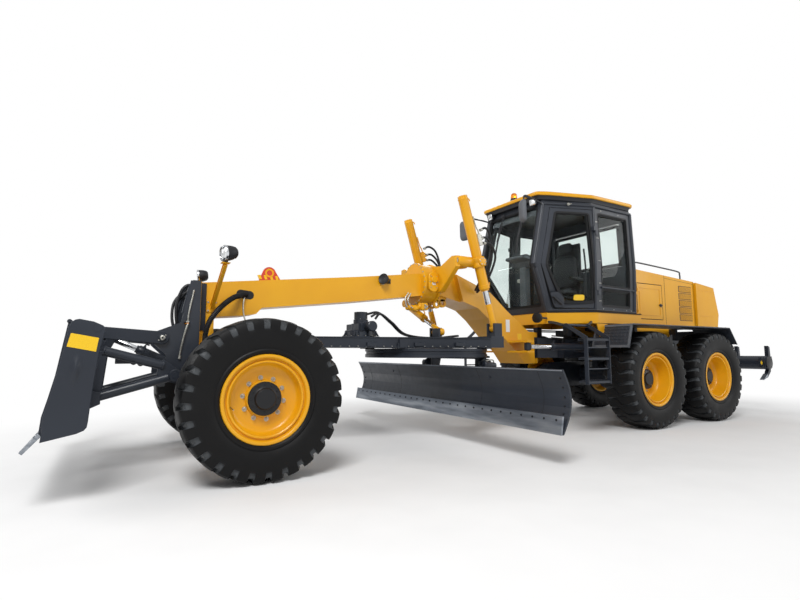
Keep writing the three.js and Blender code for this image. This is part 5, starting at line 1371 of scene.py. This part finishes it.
def work_lamp(at, facing):
    """A square work lamp: shell, reflector bowl and glass, each a rounded-square lofted along the lamp's aim."""
    square = basis(facing)
    rings = ([(38, -70), (56, -50), (62, -8), (62, 8), (54, 10), (54, 2), (10, 0)],
             [(53, 1), (53, 7), (46, 11), (20, 13)])
    return [moved(lofted([(rounded((-r, -r * 0.8), (r, r * 0.8), r * 0.3, 4), z) for r, z in rows]), at, square)
            for rows in rings]


lamps = [work_lamp(p, f) for p, f in (((-3905, 450, 3148), (0.97, 0.1, -0.2)),
                                      ((-3905, -450, 3148), (0.97, -0.1, -0.2)),
                                      ((-5610, 560, 3120), (-0.97, 0, -0.24)),
                                      ((-5610, -560, 3120), (-0.97, 0, -0.24)))]
piece("roof_lamp_shells", joined(*[m[0] for m in lamps]), PLASTIC, "rear_frame")
piece("roof_lamp_lenses", joined(*[m[1] for m in lamps]), BRIGHT, "rear_frame")


def mirror(sign):
    """A tall mirror: rounded shell lofted back from its rim, glass in front, and two bent tube arms to the pillar."""
    rings = [(0, 1.0), (6, 1.03), (24, 1.0), (44, 0.86), (56, 0.6)]
    outline = rounded((-70, -150), (70, 150), 46, 6)
    toward = basis((-0.93, 0.3 * sign, 0.03))
    at = np.array([-3545, sign * 640, 2925.0])
    shell = moved(lofted([(outline * k, -z) for z, k in rings]), at, toward)
    glass = moved(slab(outline * 0.93, 0.4, 3, "xy", 1), at, toward)
    arms = joined(*[pipe([(-3560, sign * 640, z), (-3545, sign * 640, z + lift), (-3620, sign * 630, z + lift + 26),
                          (-3850, sign * 590, 3105 + lift * 0.2), (-3990, sign * 560, 3096)], 10, 12, 40)
                    for z, lift in ((3050, 70), (3010, 90))],
                  turned([(TIP, -80), (12, -80), (12, 80), (TIP, 80)], 16, (0, 0, 1), (-3572, sign * 642, 3000)))
    return shell, glass, arms


for side, sign in (("left", 1), ("right", -1)):
    shell, glass, arms = mirror(sign)
    piece(f"mirror_{side}_shell", shell, TRIM, "rear_frame")
    piece(f"mirror_{side}_glass", glass, BRIGHT, "rear_frame")
    piece(f"mirror_{side}_arms", arms, PLASTIC, "rear_frame")


def wiper(y):
    """A pantograph wiper: motor knob, two parallel arms and a blade of spring steel and rubber on the windscreen."""
    top = on_front(np.array([(y, 3108.0)]), 22)[0]
    low = on_front(np.array([(y - 40, 2700.0)]), 30)[0]
    arms = [pipe([top + (0, d, 0), low + (0, d, 0)], 6, 10, 12) for d in (0, 34)]
    blade_path = on_front(finer_path([(y - 24, 2980.0), (y - 30, 2460.0)]), 18)
    blade = pipe(blade_path, 10, 8)
    spring = pipe(blade_path + (14, 0, 0), 5, 8)
    return joined(*arms, blade, spring, turned([(TIP, 0), (26, 0), (26, 22), (18, 28), (TIP, 28)], 24, (1, 0, 0),
                                               top - (10, 0, 0)))


piece("wipers", joined(wiper(240), wiper(-200)), PLASTIC, "rear_frame")
piece("header_panel", draped_pane([(-470, 3088), (470, 3088), (474, 2975), (-474, 2975)], -58, -44, on_front), TRIM,
      "rear_frame")


# ---------------------------------------------------------------- seat, wheel, levers

def pad_outline(angle, corner, dip):
    """A rounded rectangle of half size 1: (cos, sin) to the power 2 / corner, pulled in by dip * sin(2 angle) ** 2."""
    corners = np.stack([np.cos(angle), np.sin(angle)], -1)
    return np.sign(corners) * np.abs(corners) ** (2 / corner) * (1 - dip * np.sin(2 * angle) ** 2)[:, None]


def cushion(low, high, corner, seams, dip=0.035):
    """A stuffed pad between two corners, as rings that shrink towards the middle of its top and bottom.

    Ring k keeps the share sin(k) of a rounded outline whose sides pull in by dip * sin(2 angle) ** 2, and stands at the
    height H (1 - share ** 4) ** 0.4 above the seam, -H / 2 (1 - share ** 8) ** 0.5 below it. Sewn channels across it
    sink by 9 exp(-(distance / 9) ** 2).
    """
    low, high = np.asarray(low, float), np.asarray(high, float)
    middle, half = (low + high) / 2, (high - low) / 2
    angle = np.arange(120) / 120 * TURN
    ring = pad_outline(angle, corner, dip) * half[:2]
    share = np.sin(np.linspace(0.004, 1, 26) * TURN / 4)
    top = np.column_stack([share, half[2] * 1.25 * (1 - share ** 4) ** 0.4])
    under = np.column_stack([share[:-1], -half[2] * 0.75 * (1 - share[:-1] ** 8) ** 0.5])
    levels = np.concatenate([under, top[::-1]])
    grid = np.concatenate([ring * levels[:, None, :1], np.broadcast_to(levels[:, None, 1:], (len(levels), 120, 1))],
                          -1)
    sink = sum(9 * np.exp(-((grid[..., 0] - s) / 9) ** 2) for s in seams)
    grid[..., 2] -= np.where(grid[..., 2] > 0, sink * np.clip(grid[..., 2] / (half[2] * 0.6), 0, 1), 0)
    grid[..., 2] -= half[2] * 0.25
    return moved(skin(grid), middle)


def piping(low, high, corner, level, dip=0.035):
    """The sewn welt round a cushion's seam: a thin cord along the cushion's own outline."""
    low, high = np.asarray(low, float), np.asarray(high, float)
    angle = np.linspace(0, TURN, 97)[:-1]
    ring = pad_outline(angle, corner, dip) * (high - low)[:2] / 2
    path = np.column_stack([ring + ((low + high) / 2)[:2], np.full(96, level)])
    forward = np.roll(path, -1, 0) - np.roll(path, 1, 0)
    forward /= np.linalg.norm(forward, axis=1, keepdims=True)
    side = np.stack([forward[:, 1], -forward[:, 0], 0 * forward[:, 0]], -1)
    turn = np.arange(8) / 8 * TURN
    grid = path[:, None] + 4.5 * (side[:, None] * np.cos(turn)[:, None] + np.array([0, 0, 1.0]) *
                                  np.sin(turn)[:, None])
    return skin(grid.swapaxes(0, 1), around_u=True, around_v=True, caps=False)


def seat_pan():
    """The seat's dark shells: suspension base with its bellows, pan under the cushion and the moulded back shell."""
    folds = [(r, z) for k in range(5) for r, z in ((150, 1612 + k * 44), (172, 1626 + k * 44), (172, 1640 + k * 44))]
    base = lofted([(rounded((-4975 - r, -r), (-4975 + r, r), 40), z) for r, z in folds + [(150, 1836)]])
    pan = slab(rounded((-5170, -238), (-4715, 238), 60, 6), 1836, 1892, "xy", 14)
    back = slab(rounded((-5160, 1920), (-5105, 2745), 26, 4), -225, 225, "xz", 10)
    return joined(base, pan, back)


made = piece("seat_shells", seat_pan(), PLASTIC, "rear_frame")
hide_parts("operator_seat")
for name, low, high, seams in (("seat_cushion", (-5095, -235, 1893), (-4705, 235, 2036), (-60, 60)),
                               ("seat_back", (2050, -225, 5000), (2560, 225, 5108), (-110, 0, 110)),
                               ("seat_headrest", (2600, -130, 5030), (2762, 130, 5108), ())):
    pad = cushion(low, high, 5.0, seams)
    welt = piping(low, high, 5.0, (low[2] + high[2]) / 2 - (high[2] - low[2]) / 8)
    if name != "seat_cushion":
        pad, welt = [(shape[0][:, [2, 1, 0]] * (-1, 1, 1), [g[:, ::-1] for g in shape[1]]) for shape in (pad, welt)]
        pad, welt = outward(pad), outward(welt)
    pad = piece(name, pad, VINYL, "rear_frame", 60)
    piece(name + "_welt", welt, SEAL, "rear_frame", 60)

rests = [slab(soft([(-5090, 2110), (-4790, 2150), (-4780, 2192), (-5090, 2168)], 14, 4), s * 285 - 32, s * 285 + 32,
              "xz", 12)
         for s in (1, -1)]
piece("seat_armrests", joined(*rests, *[pipe([(-5130, s * 215, 2130), (-5110, s * 262, 2132), (-5060, s * 285, 2136)],
                                             14, 12, 12)
                                        for s in (1, -1)]), VINYL, "rear_frame")
piece("seat_belt_reels", both(joined(block((-5110, 238, 1900), (-5040, 262, 1990), 8),
                                     block((-5090, 240, 1985), (-5064, 252, 2062), 4))), PLASTIC, "rear_frame")


def steering_rim():
    """The wheel's padded rim: a torus whose section swells at each finger rest, drawn round the tilted wheel plane."""
    angle = np.arange(96) / 96 * TURN
    turn = np.arange(12) / 12 * TURN
    size = 17.5 + 1.6 * np.sin(angle * 24)
    flat = np.stack([(190 + size[:, None] * np.cos(turn)) * np.cos(angle)[:, None],
                     (190 + size[:, None] * np.cos(turn)) * np.sin(angle)[:, None],
                     np.broadcast_to(size[:, None] * np.sin(turn), (96, 12))], -1)
    tilt = np.array([[math.cos(-0.42), 0, math.sin(-0.42)], [0, 1, 0], [-math.sin(-0.42), 0, math.cos(-0.42)]])
    return moved(skin((flat @ tilt.T).swapaxes(0, 1), around_u=True, around_v=True, caps=False), (-4400, 0, 2400))


piece("steering_wheel_rim", steering_rim(), PLASTIC, "rear_frame")
horn = turned([(TIP, -14), (44, -14), (50, -6), (50, 10), (42, 18), (20, 22), (TIP, 22)], 32, (-0.41, 0, 0.91),
              (-4402, 0, 2404))
piece("steering_hub", horn, TRIM, "rear_frame")
handles, knobs = [], []
for side in (1, -1):
    for k in range(5):
        foot = np.array([-4330 - 8 * k, side * (118 + 42 * k), 2170.0])
        tip = foot + (-64, side * 6, 150 + 6 * (k % 2))
        handles.append(pipe([foot, foot + (-10, 0, 60), tip], 6, 10, 10))
        knobs.append(turned([(TIP, -22), (12, -20), (19, -4), (18, 12), (10, 22), (TIP, 24)], 20, (-0.3, 0, 0.95),
                            tip))
    handles.append(block((-4375, min(side * 112, side * 310), 2120), (-4295, max(side * 112, side * 310), 2172), 10))
piece("control_levers", joined(*handles), ZINC, "rear_frame")
piece("control_knobs", joined(*knobs), PLASTIC, "rear_frame")
dash = slab(soft([(-4215, 2292), (-4205, 2418), (-4040, 2470), (-3960, 2452), (-3950, 2412), (-4090, 2385),
                  (-4150, 2288)], 16, 4),
            -190, 190, "xz", 10)
piece("dashboard", joined(dash, slab([(-4215, 1640), (-4110, 1640), (-4110, 2300), (-4215, 2300)], -60, 60, "xz",
                                     10)), TRIM,
      "rear_frame")
gauges = [turned([(TIP, 0), (34, 0), (36, 4), (32, 8), (30, 5), (TIP, 5)], 28, (-0.99, 0, 0.12), (-4206, y, 2360))
          for y in
          (-120, -40, 40, 120)]
piece("dashboard_gauges", joined(*gauges), PLASTIC, "rear_frame")


# ---------------------------------------------------------------- platform, ladders, fenders

PLAN = np.array([(-4110, 455), (-4640, 860), (-4700, 860), (-4815, 860), (-4870, 860), (-5640, 860)], float)


def platform_tray():
    """The cab's carrier: a folded skirt that follows the plan and drops behind the steps, its deck, and four posts."""
    loop = np.concatenate([PLAN, PLAN[::-1] * (1, -1)])
    drop = np.array([1440, 1440, 1262, 1262, 1440, 1440], float)
    bottom = np.concatenate([drop, drop[::-1]])
    rings = [np.column_stack([inset(loop, inward), level]) for inward, level in (
        (0, bottom), (0, np.full(12, 1596.0)), (4, np.full(12, 1600.0)), (15, np.full(12, 1600.0)), (15, bottom))]
    wall = skin(np.stack(rings, 1), around_u=True, caps=False)
    posts = both(joined(*[block((x - 50, 246, 1432), (x + 50, 335, 1584), 5) for x in (-4700, -5500)]))
    return joined(wall, slab(inset(loop, 14), 1580, 1597, "xy", 2), posts)


made = piece("platform_finish", platform_tray(), YELLOW, "rear_frame")
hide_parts("cab_platform")


TREADS = (690, 980, 1220)


def ladder():
    """Boarding ladder: bent flat-bar sides hung from arms under the cab, three pan treads and rows of pressed grips."""
    side = [(872, 1378), (872, 1412), (915, 1420), (1234, 1240), (1234, 644), (1180, 644), (1180, 1206), (908, 1372)]
    sides = [slab([(y, z) for y, z in side], x - 7, x + 7, "yz", 2) for x in (-4386, -3964)]
    pans = [joined(block((-4379, 1078, z - 6), (-3971, 1228, z), 1.5),
                   block((-4379, 1218, z - 34), (-3971, 1228, z), 1.5),
                   block((-4379, 1078, z - 34), (-3971, 1088, z), 1.5)) for z in TREADS]
    arms = [pipe([(-4130, 470, 1462), (-4060, 640, 1440), (-3975, 830, 1402), (-3964, 900, 1398)], 20, 12, 20),
            pipe([(-4600, 800, 1462), (-4500, 850, 1430), (-4392, 884, 1402)], 20, 12, 16),
            pipe([(-3964, 892, 1398), (-4386, 892, 1398)], 16, 12)]
    rods = [pipe([(-3971, 1206, z), (-4379, 1206, z)], 9, 10) for z in (835, 1100)]
    buttons = np.array([(x, y, z) for z in TREADS for x in range(-4350, -3990, 34) for y in (1105, 1153, 1200)],
                       float)
    grip = turned([(11, 0), (11, 4), (7, 6)], 8, (0, 0, 1))
    return joined(*sides, *pans, *arms, *rods, repeated(grip, buttons))


piece("boarding_ladders", both(ladder()), SLATE, "rear_frame")
skirt_line = [(-4115, 462, 1598), (-4640, 866, 1598), (-5636, 866, 1598)]
piece("platform_edge", both(joined(pipe(finer_path(skirt_line), 7, 10),
                                   slab([(-5640, 1440), (-4650, 1440), (-4650, 1446), (-5640, 1446)], 858, 864, "xz",
                                        1))),
      SEAL, "rear_frame")
arm = pipe([(-4100, 452, 1515), (-3990, 500, 1512), (-3880, 560, 1508), (-3800, 586, 1504)], 16, 14, 20)
piece("platform_lamp_arms", both(arm), CAB_GREY, "rear_frame")
head = turned([(TIP, -84), (30, -80), (50, -62), (66, -30), (70, -4), (70, 6), (64, 8), (60, 0), (TIP, 0)], 40,
              (0.97, 0.2, 0.05),
              (-3770, 592, 1503))
piece("platform_lamps", both(head), PLASTIC, "rear_frame")
piece("platform_lamp_glass", both(turned([(TIP, 1), (61, 1), (61, 5), (30, 13), (TIP, 15)], 40, (0.97, 0.2, 0.05),
                                         (-3770, 592, 1503))), BLACK_ENAMEL, "rear_frame")


def fender_trim():
    """The rolled lip on the fender's outer edge, the tread pads on its front slope and top, and the slope's frame."""
    path = np.array([(-4715, 1105), (-4815, 1420), (-7270, 1420), (-7467, 1167)], float)
    x, z = finer_path(path).T
    lip = pipe(np.stack([x, np.full(len(x), 1272.0), z - 6], 1), 9, 12)
    slope = np.array([[-95, 0, 315], [0, 329, 0], [315, 0, 95]], float).T / 329
    pad = block((-13, -24, -2), (13, 24, 7), 2)
    rows = np.array([(-4727 - 0.3 * z, y, 1135 + z) for z in range(0, 270, 44) for y in range(745, 1260, 62)], float)
    front = repeated(pad, rows, np.broadcast_to(slope, (len(rows), 3, 3)))
    flat_pad = block((-24, -12, -1), (24, 12, 6), 2)
    tops = np.array([(x, y, 1421) for x in range(-5560, -4850, 66) for y in range(925, 1250, 46)], float)
    top = repeated(flat_pad, tops)
    level, upright = block((-16, -288, -2), (16, 288, 9), 2), block((-150, -14, -2), (150, 14, 9), 2)
    border = joined(*[moved(level, (-4727 - 0.3 * z, 990, 1135 + z), slope) for z in (-14, 268)],
                    *[moved(upright, (-4765, y, 1262), slope) for y in (716, 1264)])
    return joined(lip, front, top), border


trim, border = fender_trim()
piece("fender_trim", both(trim), CAB_GREY, "rear_frame")
piece("fender_front_frames", both(border), TRIM, "rear_frame")
spots = np.linspace((-4880, 1248, 1420), (-7200, 1248, 1420), 12)
piece("fender_bolts", both(bolts(spots, (0, 0, 1), 10)), ZINC, "rear_frame")


# ---------------------------------------------------------------- hood and cowl

LOUVRE_ROWS = (2095, 1975, 1855, 1735, 1615)
HOOD_SIDE = 640.0


def louvre_bank():
    """Five rows of pressed louvres: each a blade that stands out at its rear edge and slopes into the panel."""
    blade = slab([(0, 638.5), (8, 638.5), (8, 641.4), (0, 644)], -46, 46, "xy", 0.8)
    x = np.arange(-7400, -7040, 20.0)
    places = np.array([(a, 0, b) for b in LOUVRE_ROWS for a in x])
    return repeated(blade, places)


def line_on_hood(x, z0, z1):
    """A panel gap drawn as a thin upright strip on the hood's side."""
    return slab([(x - 3, z0), (x + 3, z0), (x + 3, z1), (x - 3, z1)], 639, 641.5, "xz", 0.6)


dark = joined(*[slab(rounded((-7412, z - 54), (-7032, z + 54), 10, 3), 638.6, 640.6, "xz", 0.4) for z in LOUVRE_ROWS])
seams = joined(line_on_hood(-5812, 1490, 2336), line_on_hood(-6640, 1490, 2290), line_on_hood(-7470, 1490, 2246),
               slab([(-7470, 2200), (-6640, 2246), (-6640, 2250), (-7470, 2204)], 639, 641.5, "xz", 0.5))
piece("hood_louvre_shadow", both(dark), SEAL, "rear_frame")
piece("hood_louvres", both(louvre_bank()), YELLOW, "rear_frame")
piece("hood_seams", both(seams), SEAL, "rear_frame")
gap = [(-6560, 1560), (-5900, 1560), (-5900, 2120), (-6560, 2120)]


def on_hood(outline, off):
    """Outline points (x, z) on the hood's flat side, off millimetres outside it."""
    return np.stack([outline[:, 0], np.full(len(outline), HOOD_SIDE) + off, outline[:, 1]], 1)


for side, flip in EACH_SIDE:
    piece(f"hood_door_seal_{side}", flip(draped_ring(gap, 5, -8, 1, on_hood)), SEAL, "rear_frame")
    latch = joined(turned([(TIP, 0), (26, 0), (28, 4), (28, 10), (20, 14), (TIP, 14)], 28, (0, 1, 0),
                          (-6505, 638, 1790)),
                   slab(rounded((-6530, 1782), (-6450, 1800), 8, 3), 648, 668, "xz", 4))
    piece(f"hood_door_latch_{side}", flip(latch), PLASTIC, f"hood_door_{side}")
    pressing = draped_ring([(-6500, 1620), (-5960, 1620), (-5960, 2060), (-6500, 2060)], 14, -2, 5, on_hood)
    piece(f"hood_door_bead_{side}", flip(pressing), YELLOW, f"hood_door_{side}")

rail = [(-5905, 600, 2335), (-5908, 600, 2410), (-5950, 600, 2450), (-6100, 600, 2452), (-6700, 600, 2424),
        (-7120, 600, 2398),
        (-7170, 600, 2352), (-7175, 600, 2262)]
piece("hood_hand_rails", both(pipe(rail, 12, 14, 70)), CAB_GREY, "rear_frame")


def hood_top_trim():
    """On the hood: exhaust stub, filler cap and pre-cleaner bowl, each a turned profile."""
    stack = turned([(52, 2290), (52, 2402), (56, 2408), (62, 2408), (62, 2290)], 40, (0, 0, 1), (-6900, -240, 0),
                   hollow=True)
    filler = turned([(TIP, 2290), (54, 2290), (54, 2318), (62, 2322), (62, 2344), (54, 2350), (TIP, 2352)], 36,
                    (0, 0, 1),
                    (-5860, -300, 0))
    bowl = turned([(TIP, 2300), (46, 2300), (46, 2352), (96, 2360), (104, 2368), (104, 2398), (92, 2412), (40, 2418),
                   (TIP, 2418)],
                  40, (0, 0, 1), (-6420, -250, 0))
    return joined(stack, filler, bowl)


piece("hood_top_fittings", hood_top_trim(), PLASTIC, "rear_frame")
slope = np.array([(-5704, 2346.5), (-7496, 2247.0), (-7496, 2244.0), (-5704, 2343.5)])
piece("hood_top_seams", joined(slab(slope, -3, 3, "xz", 0.5), both(slab(slope, 470, 476, "xz", 0.5))), SEAL,
      "rear_frame")


def on_cowl(outline, off):
    """Outline points (y, z) put on the cowl's folded back, off millimetres behind it."""
    x = np.interp(outline[:, 1], [1480, 1700, 2170], [-8130, -8180, -8060])
    return np.stack([x - off, outline[:, 0], outline[:, 1]], 1)


def rear_grille():
    """The radiator guard on the cowl's back: a frame following the sloped face, with slanted slats across it, and a
    dark sheet behind the slats that is painted shade.
    """
    z = np.linspace(1560, 2120, 19)
    slat = slab([(-10, -11), (-4, -11), (4, 9), (-2, 9)], -500, 500, "xz", 1)
    slats = repeated(slat, on_cowl(np.stack([0 * z, z], 1), 0))
    edge = np.array([(-530, 1530), (530, 1530), (530, 2148), (-530, 2148)], float)
    shade_sheet = curved_pane([(-512, 1548), (512, 1548), (512, 2130), (-512, 2130)], 0.5, 3, on_cowl)
    return slats, draped_ring(edge, 26, -4, 12, on_cowl), shade_sheet


slats, rim, shade_sheet = rear_grille()
piece("cowl_grille_slats", slats, BLACK_ENAMEL, "rear_frame")
piece("cowl_grille_frame", rim, YELLOW, "rear_frame")
# dark sheet behind the slats: painted shade
piece("cowl_grille_painted_shade", shade_sheet, SEAL, "rear_frame")
tail = block((-8190, 575, 1560), (-8150, 655, 1740), 10)
piece("tail_lamp_bodies", both(tail), PLASTIC, "rear_frame")
piece("tail_lamp_lenses", both(block((-8202, 583, 1655), (-8188, 647, 1732), 5)), RED_LENS, "rear_frame")
piece("turn_lamp_lenses", both(block((-8202, 583, 1568), (-8188, 647, 1645), 5)), AMBER, "rear_frame")
piece("cowl_side_beads", both(joined(*[slab(rounded((-8010, z - 5), (-7570, z + 5), 4, 4), 678, 683, "xz", 2)
                                       for z in (1660, 2100)])), YELLOW, "rear_frame")
skirt = slab([(-5712, 1486), (-5712, 1300), (-6440, 1252), (-6610, 1252), (-6760, 1340), (-6960, 1486)], 642, 654,
             "xz", 3)
piece("hood_skirt", both(skirt), YELLOW, "rear_frame")


# ---------------------------------------------------------------- ripper and rear

SHANK_Y = (np.arange(5) / 4 - 0.5) * 2 * 990


def on_shanks(shape):
    """One copy of a shape, drawn on the machine's middle, at each of the five shanks."""
    return repeated(shape, np.stack([0 * SHANK_Y, SHANK_Y, 0 * SHANK_Y], 1))


tip = slab([(-8985, 600), (-8848, 548), (-8842, 556), (-8930, 612), (-8985, 652)], -38, 38, "xz", 3)
cheek = [(-9150, 760), (-8890, 760), (-8880, 950), (-9150, 960)]
cheeks = joined(slab(cheek, 34, 50, "xz", 4), slab(cheek, -50, -34, "xz", 4))
piece("ripper_points", on_shanks(tip), WORN_AND_SHEEN, "ripper")
piece("ripper_clamps", on_shanks(cheeks), SLATE, "ripper")
y = np.repeat(SHANK_Y, 2)
spots = np.stack([np.tile([-9110.0, -9110.0], 5), y + 50, np.tile([800.0, 915.0], 5)], 1)
piece("ripper_pins", joined(bolts(spots, (0, 1, 0), 20), both(turned([(TIP, 1049), (112, 1049), (116, 1051),
                                                                      (116, 1058), (110, 1061),
                                                                    (TIP, 1061)], 40, (0, 1, 0), (-9010, 0, 850)))),
      BLACK_ENAMEL, "ripper")
diamond = slab([(-8890, 850), (-8848, 888), (-8806, 850), (-8848, 812)], 1000, 1003, "xz", 0.6)
carrier = slab([(-8960, 806), (-8800, 806), (-8800, 894), (-8960, 894)], 988, 1000, "xz", 3)
piece("ripper_reflector_carrier", both(carrier), SLATE, "ripper")
piece("ripper_reflector", both(diamond), PLATE_YELLOW, "ripper")


# ---------------------------------------------------------------- frame joint and hoses on the frame

# grease distribution blocks in a row on the rear frame's outer walls
blocks = [block((-4560 - k * 420, 346, 1180), (-4500 - k * 420, 372, 1240), 6) for k in range(4)]
piece("frame_grease_blocks", both(joined(*blocks)), BLACK_ENAMEL, "rear_frame")
lines = [pipe([(-4300, 352 + 9 * k, 1250 + 26 * k), (-4700, 354 + 9 * k, 1236 + 26 * k),
               (-5400, 354 + 9 * k, 1240 + 26 * k),
               (-6100, 354 + 9 * k, 1240 + 26 * k)], 9, 10, 60) for k in range(2)]
piece("frame_brake_lines", both(joined(*lines)), HOSE, "rear_frame")
